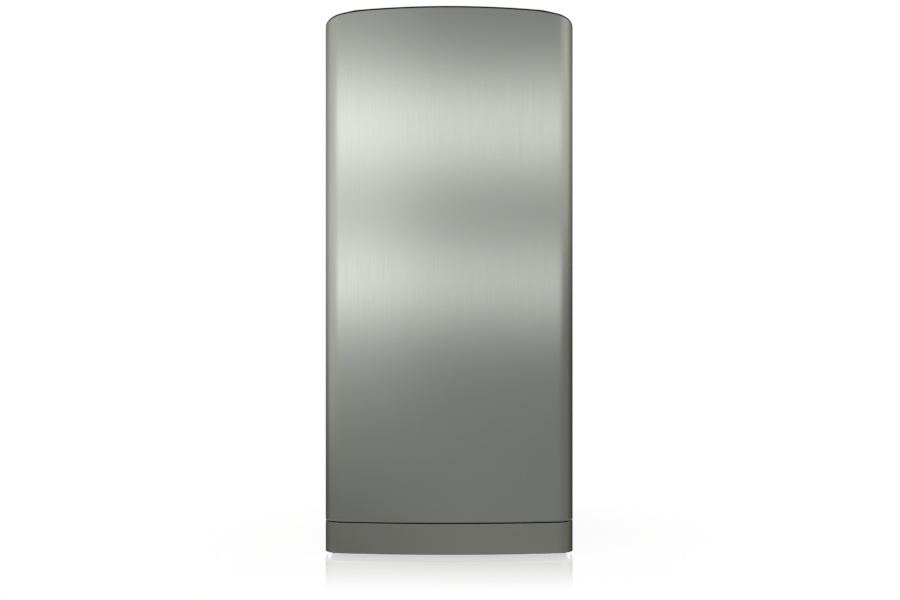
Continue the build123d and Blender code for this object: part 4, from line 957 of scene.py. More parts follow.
@dataclass
class Door:
    """The bowed door with its skin, caps, liner, seal, grip and bins.

    Attributes:
        skin: Thickness of the steel.
        rake: Fall of the top edge for each length towards the back.
        shoulder: Distance from each side at which the top begins to fall outwards.
        shoulder_fall: That fall for each length towards the side.
        shoulder_blend: Width over which the fall sets in.
        step_rows: Rows of the grid in the raked part above the hinge step.
        rows: Rows of the grid below it.
        bead: Height of the black rubber bead between the skin and the top cap, whose dark stands in as
            painted shade for a shadowed groove.
        bead_lap: How far the skin stops short of its full height to take the bead.
        bead_setback: Distance of the bead behind the face of the skin.
        bead_depth: Thickness of the bead.
        gasket_width: Width of the seal.
        gasket_folds: Left side of the seal's profile, as shares of its width and depth.
    """

    skin: float = 1.0 * MM
    rake: float = 0.44
    shoulder: float = 70 * MM
    shoulder_fall: float = 0.125
    shoulder_blend: float = 50 * MM
    step_rows: int = 6
    rows: int = 48
    bead: float = 3.6 * MM
    bead_lap: float = 1.0 * MM
    bead_setback: float = 0.15 * MM
    bead_depth: float = 4 * MM
    gasket_width: float = 20 * MM
    gasket_folds: Profile = (
        *((0.0, 0.0), (0.0, 0.20), (0.05, 0.28), (0.2, 0.36), (0.2, 0.44), (0.08, 0.52)),
        *((0.2, 0.60), (0.08, 0.68), (0.0, 0.74), (0.0, 0.92), (0.06, 1.0)),
    )

    def build(self) -> None:
        """Make every piece of the door."""
        self.build_skin()
        self.build_bead()
        self.build_gasket()
        soften(Edge.MOULDED, "grip_insert", "hinge_bushes")
        soften(Edge.SHEARED, "door_bottom_cap")
        soften(Edge.FORMED, "door_liner")
        soften(Edge.MOULDED, "egg_shelf", "upper_bin", "middle_bin", "bottle_bin")
        soften(Edge.PRESSED, "egg_tray")

    def build_skin(self) -> None:
        """Fold the skin from one fine sheet, with its hinge step and its notch for the grip."""
        low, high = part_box("door_skin")
        grip_low, grip_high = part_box("grip_insert")
        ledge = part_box("door_liner")[1].z
        plan = BowedPlan(high.x, FRONT)
        step = self.step_depth()
        stops = [step, grip_low.y, high.y]
        ridge = high.x - self.shoulder
        columns = plan.columns(stops, ridge)
        inner = plan.inset(self.skin).columns(stops, ridge)
        levels = [low.z + (ledge - low.z) * row / self.rows for row in range(self.rows + 1)]
        levels = sorted(levels + [grip_low.z, grip_high.z])
        heights = []
        for x, y in columns:
            edge = self.top_edge(x, y)
            rows = range(1, self.step_rows + 1)
            above = [ledge + (edge - ledge) * row / self.step_rows for row in rows]
            heights.append(levels + above if y <= step + TOUCH else levels)
        notch_column = next(i for i, (_, y) in enumerate(columns) if y <= grip_low.y + TOUCH)
        notch = (0, notch_column, levels.index(grip_low.z), levels.index(grip_high.z))
        piece = stand_for("door_skin", sheet("door_skin_sheet", (columns, inner), heights, notch))
        round_edges(piece, Edge.SHEARED)

    def top_edge(self, x: float, y: float) -> float:
        """Height of the skin's raked top edge, which falls at the shoulders.

        Args:
            x: Distance to the right of the middle.
            y: Depth.

        Returns:
            The height.
        """
        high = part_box("door_skin")[1]
        half = self.shoulder_blend / 2
        beyond = max(-half, abs(x) - high.x + self.shoulder)
        if beyond < half:
            beyond = (beyond + half) ** 2 / (4 * half)
        return high.z - self.bead_lap - self.rake * (y - FRONT) - self.shoulder_fall * beyond

    def build_bead(self) -> None:
        """Lay a black rubber bead along the arch, between the skin's edge and the cap: a dark strip that is
        painted shade for the shadowed groove there.
        """
        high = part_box("door_skin")[1]
        plan = BowedPlan(high.x, FRONT).inset(self.bead_setback)
        ridge = high.x - self.shoulder
        stops = [self.step_depth()]
        columns = plan.columns(stops, ridge)
        inner = plan.inset(self.bead_depth).columns(stops, ridge)
        heights = [[self.top_edge(x, y), self.top_edge(x, y) + self.bead] for x, y in columns]
        # The bead's black, with the rubber's low shine, is painted shade along the top edge.
        bead = show(sheet("door_top_shade_bead", (columns, inner), heights), "door", RUBBER)
        round_edges(bead, Edge.SHEARED)

    def step_depth(self) -> float:
        """Read the skin's step behind the raked top from the CAD form.

        Returns:
            The depth of the step.
        """
        above_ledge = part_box("door_liner")[1].z + 1 * MM
        points = [v.co for v in frame["nodes"]["door_skin"].data.vertices]
        return max(point.y for point in points if point.z > above_ledge)

    def build_gasket(self) -> None:
        """Run the seal's folded profile round the door: base, bellows and magnet strip."""
        low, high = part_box("door_gasket")
        depth = high.y - low.y
        share = [*self.gasket_folds, *((1 - across, along) for across, along in reversed(self.gasket_folds))]
        profile = [(across * self.gasket_width, low.y + along * depth) for across, along in share]
        shape = Shape()
        shape.ring(profile, high.x, low.z, high.z)
        stand_for("door_gasket", shape.mesh("door_gasket_profile"), sharp=50.0)


@dataclass
class Plinth:
    """The bowed kick plate under the door.

    Attributes:
        wall: Thickness of the plate.
        rows: Rows of its grid.
        shelf_start: Distance behind the crown from which the CAD form shows only the shelf and its clips.
        shelf_gap: Distance of the shelf's back from the back of the clips.
        clip_near: Distance of a clip's near side from the middle.
        clip_far: Distance of its far side.
        clip_lap: How far a clip reaches into the shelf.
        rib_end: Distance of the rib's ends from the plate's sides.
        rib_depth: Distance of the carrier's rib behind the crown of the plate.
        rib_drop: Distance of the rib's top under the plate's top.
        skirt_gap: Room between the floor and the rib's skirt, a black sheet that closes off the space under
            the fridge as painted shade.
        skirt_end: Distance of the skirt's ends from the plate's sides.
    """

    wall: float = 2.5 * MM
    rows: int = 6
    shelf_start: float = 80 * MM
    shelf_gap: float = 9.1 * MM
    clip_near: float = 90 * MM
    clip_far: float = 120 * MM
    clip_lap: float = 1 * MM
    rib_end: float = 4 * MM
    rib_depth: float = 62 * MM
    rib_drop: float = 2.5 * MM
    skirt_gap: float = 1.5 * MM
    skirt_end: float = 16 * MM

    def build(self) -> None:
        """Make the plate and, inside it, the black carrier, which is painted shade behind the gap under the
        door.
        """
        low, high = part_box("plinth")
        plan = BowedPlan(high.x, FRONT)
        columns = plan.columns([high.y])
        levels = [low.z + (high.z - low.z) * row / self.rows for row in range(self.rows + 1)]
        inner = plan.inset(self.wall).columns([high.y])
        plate = stand_for("plinth", sheet("plinth_plate", (columns, inner), [levels] * len(columns)))
        round_edges(plate, Edge.SHEARED)
        self.build_carrier(plan, high)

    def build_carrier(self, plan: BowedPlan, corner: Vector) -> None:
        """Make the black carrier: a level shelf, two clips, and a rib across it with a skirt below, all
        painted shade.

        Args:
            plan: Plan of the plate.
            corner: The plate's highest corner.
        """
        low, high = self.shelf_levels()
        back = corner.y
        shelf_back = back - self.shelf_gap
        shape = Shape()
        shape.slab(plan.inset(self.wall).columns([shelf_back]), low, high)
        for side in (-1, 1):
            edges = sorted((side * self.clip_near, side * self.clip_far))
            shape.slab(box_plan(*edges, shelf_back - self.clip_lap, back), low, high)
        # Painted shade: the rib and its skirt are black sheets that darken the gap under the door and the
        # space under the fridge.
        rib_back = plan.crown + self.rib_depth
        rib_end = plan.half - self.rib_end
        rib = box_plan(-rib_end, rib_end, rib_back - self.wall, rib_back)
        shape.slab(rib, low, corner.z - self.rib_drop)
        skirt_end = plan.half - self.skirt_end
        skirt = box_plan(-skirt_end, skirt_end, rib_back - self.wall, rib_back)
        shape.slab(skirt, self.skirt_gap, low)
        # The shelf and clips belong to the CAD plinth, yet are drawn black, as painted shade.
        show(shape.mesh("plinth_shade_carrier"), "cabinet", BLACK_ABS)

    def shelf_levels(self) -> tuple[float, float]:
        """Read the shelf's heights from the CAD form's points inside the plate.

        Returns:
            Its bottom and its top.
        """
        inside = FRONT + self.shelf_start
        beyond = self.clip_far + self.clip_lap
        points = [v.co for v in frame["nodes"]["plinth"].data.vertices]
        levels = [point.z for point in points if point.y > inside and abs(point.x) < beyond]
        return min(levels), max(levels)


@dataclass
class Cabinet:
    """The case, its liner, the base with feet and rollers, and the hinges.

    Attributes:
        foot_grip: Height of a foot's grip.
        foot_sides: Flats of the grip.
        foot_stem: Radius of the stem over its thread.
        foot_pitch: Pitch of the thread.
        foot_pad: Rounding of the pad: distance in from the grip's radius, and height.
        foot_shoulder: Rounding of the grip's top: distance in, and depth under the top.
        foot_collar: Cone on the grip: radius, and height above the top.
        dome: Half profile of a screw's head, as shares of its radius and height.
        head_sides: Flats round a head.
        slot_reach: Reach of the cross recess, as a share of the head's radius.
        slot_half: Half width of its arms, as a share of the radius.
        slot_floor: Height of its floor, as a share of the head's.
    """

    foot_grip: float = 12 * MM
    foot_sides: int = 12
    foot_stem: float = 5 * MM
    foot_pitch: float = 1.5 * MM
    foot_pad: Profile = ((3 * MM, 0.0), (1.2 * MM, 0.6 * MM), (0.0, 2.2 * MM))
    foot_shoulder: Profile = ((0.0, 2 * MM), (1.6 * MM, 0.4 * MM), (4 * MM, 0.0))
    foot_collar: Profile = ((7.5 * MM, 0.0), (7 * MM, 1.5 * MM), (0.0, 1.5 * MM))
    dome: Profile = (
        *((0.0, 0.0), (1.0, 0.0), (1.0, 0.35), (0.93, 0.6)),
        *((0.75, 0.84), (0.42, 0.97), (0.0, 1.0)),
    )
    head_sides: int = 28
    slot_reach: float = 0.62
    slot_half: float = 0.13
    slot_floor: float = 0.4

    def build(self) -> None:
        """Make every piece of the cabinet."""
        soften(Edge.SHEARED, "case_side_left", "case_side_right", "case_top", "back_panel", "bottom_pan")
        soften(Edge.SHEARED, "base_rail_left", "base_rail_right", "front_crossmember", "compressor_plate")
        soften(Edge.PRESSED, "upper_hinge")
        soften(Edge.MOULDED, "hinge_cover")
        soften(Edge.FORMED, "inner_liner")
        soften(Edge.PRESSED, "roller_left", "roller_right")
        for node in ("foot_left", "foot_right"):
            self.build_foot(node)
        self.build_screws()

    def build_foot(self, node: str) -> None:
        """Make a levelling foot: a twelve-sided grip on a rounded pad, under a threaded stem.

        Args:
            node: CAD node of the foot.
        """
        low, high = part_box(node)
        x = (low.x + high.x) / 2
        y = (low.y + high.y) / 2
        grip = self.foot_grip
        radius = high.x - x
        shape = Shape()
        profile = [(0.0, 0.0), *((radius - inward, height) for inward, height in self.foot_pad)]
        profile += [(radius - inward, grip - depth) for inward, depth in self.foot_shoulder]
        profile += [(reach, grip + height) for reach, height in self.foot_collar]
        shape.lathe(profile, upright(x, y, low.z), self.foot_sides)
        stem_low = low.z + grip
        shape.thread(self.foot_stem, self.foot_pitch, high.z - stem_low, upright(x, y, stem_low))
        stand_for(node, shape.mesh(f"{node}_threaded"))

    def build_screws(self) -> None:
        """Make the hinge screws: domed heads with a cross recess."""
        heads = Shape()
        cross = Shape()
        for points in islands("hinge_screws"):
            low, high = box_of(points)
            spot = (low + high) / 2
            # A head on top of a hinge is much wider than high, and one on the front is as high as wide.
            on_top = high.x - low.x > 1.5 * (high.z - low.z)
            height = high.z - low.z if on_top else high.y - low.y
            radius = (high.x - low.x) / 2
            place = upright(spot.x, spot.y, low.z) if on_top else facing(spot.x, high.y, spot.z)
            dome = [(across * radius, along * height) for across, along in self.dome]
            heads.lathe(dome, place, self.head_sides)
            arm = self.slot_reach * radius
            slit = self.slot_half * radius
            plan = [(slit, slit), (slit, arm), (-slit, arm), (-slit, slit), (-arm, slit), (-arm, -slit)]
            plan += [(-slit, -slit), (-slit, -arm), (slit, -arm), (slit, -slit), (arm, -slit), (arm, slit)]
            tool = Shape()
            # The cutter stands out of the head, so that it cuts cleanly.
            tool.slab(plan, self.slot_floor * height, 1.2 * height)
            cross.add([place @ Vector(point) for point in tool.points], tool.faces)
        mesh = carved(heads.mesh("hinge_screws_crossed"), cross.mesh("recess"))
        stand_for("hinge_screws", mesh)


@dataclass
class FoodSpace:
    """What stands in the food space: shelves, drawers and the ice compartment.

    Attributes:
        wall: Thickness of the ice compartment's walls.
        channel: Radius of the blown channel.
        channel_runs: Times that it crosses the box.
        channel_margin: Distance of the first and last run from the box's ends.
        channel_rise: Height to which it climbs the side walls.
        channel_bend: Distance from a corner at which its bend starts.
    """

    wall: float = 3 * MM
    channel: float = 2.7 * MM
    channel_runs: int = 8
    channel_margin: float = 32 * MM
    channel_rise: float = 150 * MM
    channel_bend: float = 8 * MM

    def build(self) -> None:
        """Make every piece in the food space."""
        soften(Edge.GROUND, "shelf_glass", "crisper_cover")
        soften(Edge.CRISP, "shelf_trims")
        soften(Edge.SHEARED, "crisper_drawer", "chiller_tray")
        soften(Edge.MOULDED, "freezer_frame", "freezer_flap")
        soften(Edge.PRESSED, "freezer_box")
        self.build_channels()

    def build_channels(self) -> None:
        """Blow the refrigerant channel up in the box's walls: one path to and fro over three sides."""
        low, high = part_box("freezer_box")
        half = high.x - self.wall / 2
        floor = low.z + self.wall / 2
        rim = low.z + self.channel_rise
        front = low.y + self.channel_margin
        pitch = (high.y - low.y - 2 * self.channel_margin) / (self.channel_runs - 1)
        points = []
        for run in range(self.channel_runs):
            y = front + run * pitch
            way = [(-half, y, rim), (-half, y, floor), (half, y, floor), (half, y, rim)]
            points += way if run % 2 == 0 else way[::-1]
        mesh = tube("freezer_channels", rounded(points, self.channel_bend), self.channel)
        show(mesh, "cabinet", ROLL_BOND)


@dataclass
class Controls:
    """The housing with its knob and button, the lamp's cover and the light switch.

    Attributes:
        settings: Numbers round the knob.
        numeral: Height of a number.
        scale: Radius of the ring of numbers.
        sweep: Degrees from the first number to the last.
        ink: How far a printed number stands out of the knob, and reaches into it.
        mark_gap: Distance of the mark above the knob.
        mark_half: Half width of the mark.
        mark_height: Height of the mark.
        mark_proud: How far the mark stands out of the housing.
        mark_sunk: How far it reaches into it.
    """

    settings: int = 8
    numeral: float = 4.6 * MM
    scale: float = 10.4 * MM
    sweep: float = 270.0
    ink: float = 0.04 * MM
    mark_gap: float = 1.6 * MM
    mark_half: float = 2 * MM
    mark_height: float = 4.5 * MM
    mark_proud: float = 0.06 * MM
    mark_sunk: float = 0.3 * MM

    def build(self) -> None:
        """Make every piece of the controls."""
        soften(Edge.CRISP, "thermostat_knob")
        soften(Edge.PRESSED, "control_housing", "lamp_cover", "light_switch_body")
        soften(Edge.PRESSED, "defrost_button", "switch_plunger")
        self.build_scale()

    def build_scale(self) -> None:
        """Print the settings on the knob's face, and a mark above it on the housing."""
        low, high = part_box("thermostat_knob")
        x = (low.x + high.x) / 2
        z = (low.z + high.z) / 2
        for number in range(self.settings):
            turn = math.radians(self.sweep * (number / (self.settings - 1) - 0.5))
            text = bpy.data.curves.new("numeral", "FONT")
            text.body = str(number)
            text.size = self.numeral
            text.align_x = "CENTER"
            text.align_y = "CENTER"
            text.extrude = self.ink
            spot = facing(x + self.scale * math.sin(turn), low.y, z + self.scale * math.cos(turn))
            mesh = drawn(f"knob_numeral_{number}", text, spot @ Matrix.Rotation(-turn, 4, "Z"))
            show(mesh, "knob", INK)
        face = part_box("control_housing")[0].y
        mark = Shape()
        tip = high.z + self.mark_gap
        base = tip + self.mark_height
        plan = [(x, tip), (x + self.mark_half, base), (x - self.mark_half, base)]
        depths = (face - self.mark_proud, face + self.mark_sunk)
        points = [(across, y, up) for y in depths for across, up in plan]
        mark.add(points, [(0, 1, 2), (5, 4, 3), (0, 3, 4, 1), (1, 4, 5, 2), (2, 5, 3, 0)])
        show(mark.mesh("knob_mark"), "cabinet", INK)


@dataclass
class InteriorLamp:
    """The lamp in the food space.

    Attributes:
        cap_share: Length of the cap, as a share of the lamp's.
        neck_share: Radius of the cap and the glass's neck, as a share of the glass's.
        cap_pitch: Pitch of the cap's thread.
        thread_end: End of the thread, as a share of the cap's length.
        collar_start: Start of the plain collar, as a share of the cap's length.
        flare: How the glass widens from its neck, as shares of the widening and of the way.
        glass: Thickness of the glass.
        sides: Flats round the glass.
        tip_steps: Steps of its round end.
        cap_sides: Flats round the collar.
        filament_level: Distance of the filament from the cap.
        filament_half: Half its length.
        filament_turns: Turns of its coil.
        turn_steps: Steps in one turn.
        coil: Radius of the coil.
        wire: Radius of the wire.
        post: Distance from the cap up to which a post leans outwards.
        post_foot: Distance of a post's foot from the middle, as a share of the half length.
    """

    cap_share: float = 0.4
    neck_share: float = 0.56
    cap_pitch: float = 3 * MM
    thread_end: float = 0.82
    collar_start: float = 0.8
    flare: Profile = ((0.0, 0.0), (0.12, 0.3), (0.6, 0.7))
    glass: float = 0.7 * MM
    sides: int = 32
    tip_steps: int = 10
    cap_sides: int = 24
    filament_level: float = 14 * MM
    filament_half: float = 5 * MM
    filament_turns: int = 14
    turn_steps: int = 10
    coil: float = 0.45 * MM
    wire: float = 0.14 * MM
    post: float = 6 * MM
    post_foot: float = 0.6

    def build(self) -> None:
        """Make the lamp: blown glass over a wound filament, in a screwed brass cap."""
        low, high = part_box("lamp_bulb")
        x = (low.x + high.x) / 2
        z = (low.z + high.z) / 2
        radius = high.x - x
        length = high.y - low.y
        place = rearward(x, low.y, z)
        cap_length = self.cap_share * length
        neck = self.neck_share * radius
        cap = Shape()
        cap.thread(neck, self.cap_pitch, self.thread_end * cap_length, place)
        start = self.collar_start * cap_length
        collar = [(0.0, start), (neck, start), (neck, cap_length), (0.0, cap_length)]
        cap.lathe(collar, place, self.cap_sides)
        show(cap.mesh("lamp_cap"), "cabinet", BRASS)
        outer = self.bulb_profile(radius, neck, cap_length, length)
        wall = self.glass
        inner = self.bulb_profile(radius - wall, neck - wall, cap_length, length - wall)
        glass = Shape()
        glass.lathe(outer + inner[::-1] + outer[:1], place, self.sides)
        stand_for("lamp_bulb", glass.mesh("lamp_glass_shell"), sharp=60.0)
        self.build_filament(place, cap_length)

    def bulb_profile(self, radius: float, neck: float, start: float, tip: float) -> Plan:
        """Draw half the outline of the glass.

        Args:
            radius: Radius of the round end.
            neck: Radius at the cap.
            start: Height at the cap.
            tip: Height of the tip.

        Returns:
            Radius and height of each point, from the neck to the tip.
        """
        centre = tip - radius
        wider = radius - neck
        way = centre - start
        lead = [(neck + out * wider, start + along * way) for out, along in self.flare]
        angles = [math.pi / 2 * step / self.tip_steps for step in range(self.tip_steps + 1)]
        return lead + [(radius * math.cos(a), centre + radius * math.sin(a)) for a in angles]

    def build_filament(self, place: Matrix, start: float) -> None:
        """Wind the filament between its two posts.

        Args:
            place: Where the lamp stands.
            start: Height of the cap's end.
        """
        level = start + self.filament_level
        span = self.filament_half
        steps = self.filament_turns * self.turn_steps
        coil = []
        for step in range(steps + 1):
            angle = 2 * math.pi * step / self.turn_steps
            along = -span + 2 * span * step / steps
            coil.append((along, self.coil * math.cos(angle), level + self.coil * math.sin(angle)))
        bend = start + self.post
        foot = span * self.post_foot
        path = [(-foot, 0.0, start), (-span, 0.0, bend), *coil, (span, 0.0, bend), (foot, 0.0, start)]
        mesh = tube("lamp_filament", [place @ Vector(point) for point in path], self.wire, 1)
        show(mesh, "cabinet", TUNGSTEN)


@dataclass
class CoolingCircuit:
    """The compressor, its pipes and the condenser on the back.

    Attributes:
        wire_points: A loose solid with no more points than this is a wire.
        wire_sides: Flats round a drawn wire.
        wire_blunt: Size of its blunted ends, as a share of its radius.
        wire_slack: How far outside a wire's box its points may lie.
    """

    wire_points: int = 8
    wire_sides: int = 14
    wire_blunt: float = 0.4
    wire_slack: float = 0.01 * MM

    def build(self) -> None:
        """Make every piece of the cooling circuit."""
        soften(Edge.MOULDED, "terminal_cover", "cord_inlet", "evaporating_tray", "drain_spout")
        soften(Edge.SHEARED, "condenser_brackets")
        self.build_condenser()

    def build_condenser(self) -> None:
        """Keep the CAD tube and draw the wires on it as round bars with blunt ends."""
        source = frame["nodes"]["condenser"].data
        wires = [box_of(points) for points in islands("condenser") if len(points) <= self.wire_points]
        shape = Shape()
        for low, high in wires:
            spot = (low + high) / 2
            radius = (high.x - low.x) / 2
            length = high.z - low.z
            blunt = self.wire_blunt * radius
            profile = [(0.0, 0.0), (radius - blunt, 0.0), (radius, blunt)]
            profile += [(radius, length - blunt), (radius - blunt, length), (0.0, length)]
            shape.lathe(profile, upright(spot.x, spot.y, low.z), self.wire_sides)
        points = [vertex.co for vertex in source.vertices]
        faces = [face.vertices[:] for face in source.polygons]
        tubes = [face for face in faces if not self.on_wire([points[i] for i in face], wires)]
        shape.add(points, tubes)
        mesh = shape.mesh("condenser_round")
        drop_loose(mesh)
        LOG.info("condenser has %d wires", len(wires))
        stand_for("condenser", mesh)

    def on_wire(self, corners: Sequence[Vector], wires: Sequence[tuple[Vector, Vector]]) -> bool:
        """Tell whether every corner of a face lies in the box of one wire.

        Args:
            corners: Corners of the face.
            wires: Low and high corner of each wire's box.

        Returns:
            Whether the face belongs to a wire.
        """
        slack = self.wire_slack
        return any(
            all(low[i] - slack <= point[i] <= high[i] + slack for point in corners for i in range(3))
            for low, high in wires
        )


class Ease(Enum):
    """How a fade sets in and ends."""

    SOFT = "SMOOTHSTEP"
    STEADY = "LINEAR"


@dataclass(frozen=True)
class Fade:
    """A change of strength along a measure.

    Attributes:
        start: Where on the measure it begins.
        end: Where it is done.
        before: Strength up to the start.
        after: Strength beyond the end.
        ease: How it sets in.
    """

    start: float
    end: float
    before: float = 0.0
    after: float = 1.0
    ease: Ease = Ease.SOFT

    def along(self, measure: Source) -> dict[str, Any]:
        """Inputs that make this change along a measure."""
        ends = {"From Min": self.start, "From Max": self.end, "To Min": self.before, "To Max": self.after}
        return {"Value": measure, **ends}


def dimmed(tree: Tree, level: Union[float, Node], *fades: tuple[Source, Fade]) -> Node:
    """Multiply a strength by the changes along one or more measures.

    Args:
        tree: Node tree that gets the nodes.
        level: Strength to start from.
        *fades: Each measure with the change along it.

    Returns:
        The node that gives the product.
    """
    for measure, fade in fades:
        share = add_node(tree, "MapRange", fade.along(measure), interpolation_type=fade.ease.value)
        level = add_node(tree, "Math", {0: level, 1: share}, operation="MULTIPLY")
    return level


@dataclass(frozen=True)
class LightBand:
    """A level band of light ahead of the fridge.

    Attributes:
        elevation: Degrees above the horizon.
        width: Degrees over which it fades.
        radiance: Brightness in its middle.
    """

    elevation: float
    width: float
    radiance: float


@dataclass(frozen=True)
class LightWindow:
    """A soft window of light on the left.

    Attributes:
        bottom: Its lower end, by the upward part of the direction.
        top: Its upper end.
        glow: Brightness that it adds.
    """

    bottom: Fade
    top: Fade
    glow: float


@dataclass(frozen=True)
class Room:
    """White room that lights by direction: bands ahead, warm greys at the sides, white behind.

    Its fades run along the parts of a direction: x to the right, y to the back and z upwards.

    Attributes:
        bands: Bands that show in the brushed steel.
        ceiling: From the brightness ahead, between the bands, up to the ceiling's (z).
        lean: How much brighter the left is than the right.
        windows: Soft light from the left.
        window_side: Where the windows set in (x).
        dusk: Share of the light that is lost low on the left.
        dusk_side: Where that loss sets in (x).
        dusk_low: Where it sets in by height (z).
        wall_tint: Warm white of the side walls.
        wall_tilt: How much the shade on the walls climbs to the right.
        wall: From the foot of the side walls upwards (z).
        wall_depth: Loss towards the back (y).
        wall_corner: Loss into the right-hand corner at the back (the lesser of x and y).
        wall_top: Loss in the upper part of the walls (z).
        wall_end: Where the walls give way to the ceiling (z).
        sideways: Where the room ahead gives way to the side walls (x, to either side).
        backwards: Where it does so by depth (y).
        back: Where a white panel at the back sets in (y).
        back_bottom: Its lower end (z).
        back_top: Its upper end (z).
        ground: Where the room gives way to the ground (z).
        ground_tone: Colour of the ground.
    """

    bands: tuple[LightBand, ...] = (LightBand(6.9, 2.0, 0.97), LightBand(0.8, 1.6, 0.77))
    ceiling: Fade = Fade(0.2, 0.7, 0.28, 0.9)
    lean: float = 0.12
    windows: tuple[LightWindow, ...] = (
        LightWindow(Fade(-0.10, -0.03), Fade(0.21, 0.15), 0.16),
        LightWindow(Fade(-0.06, 0.05), Fade(0.13, 0.06), 0.24),
        LightWindow(Fade(0.11, 0.16), Fade(0.25, 0.20), 0.12),
    )
    window_side: Fade = Fade(0.02, -0.34)
    dusk: float = 0.5
    dusk_side: Fade = Fade(0.0, -0.38, ease=Ease.STEADY)
    dusk_low: Fade = Fade(-0.105, -0.18, ease=Ease.STEADY)
    wall_tint: str = "#FFFDF6"
    wall_tilt: float = 0.06
    wall: Fade = Fade(-0.10, 0.10, 0.215, 0.75)
    wall_depth: Fade = Fade(0.0, 0.7, 1.0, 0.46, Ease.STEADY)
    wall_corner: Fade = Fade(0.0, 0.6, 1.0, 0.68, Ease.STEADY)
    wall_top: Fade = Fade(0.13, 0.20, 1.0, 0.74)
    wall_end: Fade = Fade(0.28, 0.6)
    sideways: Fade = Fade(0.5, 1.0)
    backwards: Fade = Fade(-0.5, 0.0)
    back: Fade = Fade(0.955, 0.975)
    back_bottom: Fade = Fade(0.10, 0.14)
    back_top: Fade = Fade(0.27, 0.22)
    ground: Fade = Fade(-0.19, -0.4)
    ground_tone: str = "#E2E2DF"

    def build(self) -> None:
        """Set up the world, which the camera and clear pieces see as plain white."""
        world = bpy.data.worlds.new("studio")
        bpy.context.scene.world = world
        tree = empty_tree(world)
        way = add_node(tree, "TexCoord").outputs["Generated"]
        x, y, z = add_node(tree, "SeparateXYZ", {0: way}).outputs
        off_side = add_node(tree, "Math", {0: x}, operation="ABSOLUTE")
        sideways = dimmed(tree, 1.0, (off_side, self.sideways))
        backwards = dimmed(tree, 1.0, (y, self.backwards))
        around = add_node(tree, "Math", {0: sideways, 1: backwards}, operation="MAXIMUM")
        behind = dimmed(tree, 1.0, (y, self.back), (z, self.back_bottom), (z, self.back_top))
        downwards = dimmed(tree, 1.0, (z, self.ground))
        path = add_node(tree, "LightPath").outputs
        rays = {0: path["Is Camera Ray"], 1: path["Is Transmission Ray"]}
        seen = add_node(tree, "Math", rays, operation="MAXIMUM")
        covers = (
            (around, self.side_light(tree, x, y, z)),
            (behind, WHITE),
            (downwards, linear(self.ground_tone)),
            (seen, WHITE),
        )
        light = self.front_light(tree, x, z)
        for share, cover in covers:
            light = add_node(tree, "Mix", {0: share, 6: light, 7: cover}, data_type="RGBA").outputs[2]
        background = add_node(tree, "Background", {"Color": light, "Strength": 1.0})
        add_node(tree, "OutputWorld", {"Surface": background})

    def front_light(self, tree: Tree, x: Socket, z: Socket) -> Node:
        """Brightness of the room ahead.

        Args:
            tree: Node tree of the world.
            x: Sideways part of the direction.
            z: Upward part of the direction.

        Returns:
            The brightness, higher to the left.
        """
        total = dimmed(tree, 1.0, (z, self.ceiling))
        for band in self.bands:
            rise = math.sin(math.radians(band.elevation))
            spread = 1 / math.sin(math.radians(band.width))
            away = add_node(tree, "Math", {0: z, 1: spread, 2: -rise * spread}, operation="MULTIPLY_ADD")
            square = add_node(tree, "Math", {0: away, 1: away}, operation="MULTIPLY")
            fall = add_node(tree, "Math", {0: 1 / math.e, 1: square}, operation="POWER")
            total = add_node(tree, "Math", {0: fall, 1: band.radiance, 2: total}, operation="MULTIPLY_ADD")
        lean = add_node(tree, "Math", {0: x, 1: -self.lean, 2: 1.0}, operation="MULTIPLY_ADD")
        total = add_node(tree, "Math", {0: total, 1: lean}, operation="MULTIPLY")
        for window in self.windows:
            glow = dimmed(tree, window.glow, (x, self.window_side), (z, window.bottom), (z, window.top))
            total = add_node(tree, "Math", {0: glow, 1: total}, operation="ADD")
        lost = dimmed(tree, self.dusk, (x, self.dusk_side), (z, self.dusk_low))
        kept = add_node(tree, "Math", {0: 1.0, 1: lost}, operation="SUBTRACT")
        return add_node(tree, "Math", {0: total, 1: kept}, operation="MULTIPLY")

    def side_light(self, tree: Tree, x: Socket, y: Socket, z: Socket) -> Socket:
        """Warm grey of the room's side and back walls.

        Args:
            tree: Node tree of the world.
            x: Sideways part of the direction.
            y: Backward part of the direction.
            z: Upward part of the direction.

        Returns:
            The colour, darker towards the floor, to the right and to the back.
        """
        height = add_node(tree, "Math", {0: x, 1: -self.wall_tilt, 2: z}, operation="MULTIPLY_ADD")
        corner = add_node(tree, "Math", {0: x, 1: y}, operation="MINIMUM")
        losses = ((y, self.wall_depth), (corner, self.wall_corner), (z, self.wall_top))
        level = dimmed(tree, 1.0, (height, self.wall), *losses)
        overhead = dimmed(tree, 1.0, (z, self.wall_end))
        level = add_node(tree, "Mix", {0: overhead, 2: level, 3: self.ceiling.after}, data_type="FLOAT")
        tint = {0: 1.0, 6: level, 7: linear(self.wall_tint)}
        return add_node(tree, "Mix", tint, data_type="RGBA", blend_type="MULTIPLY").outputs[2]


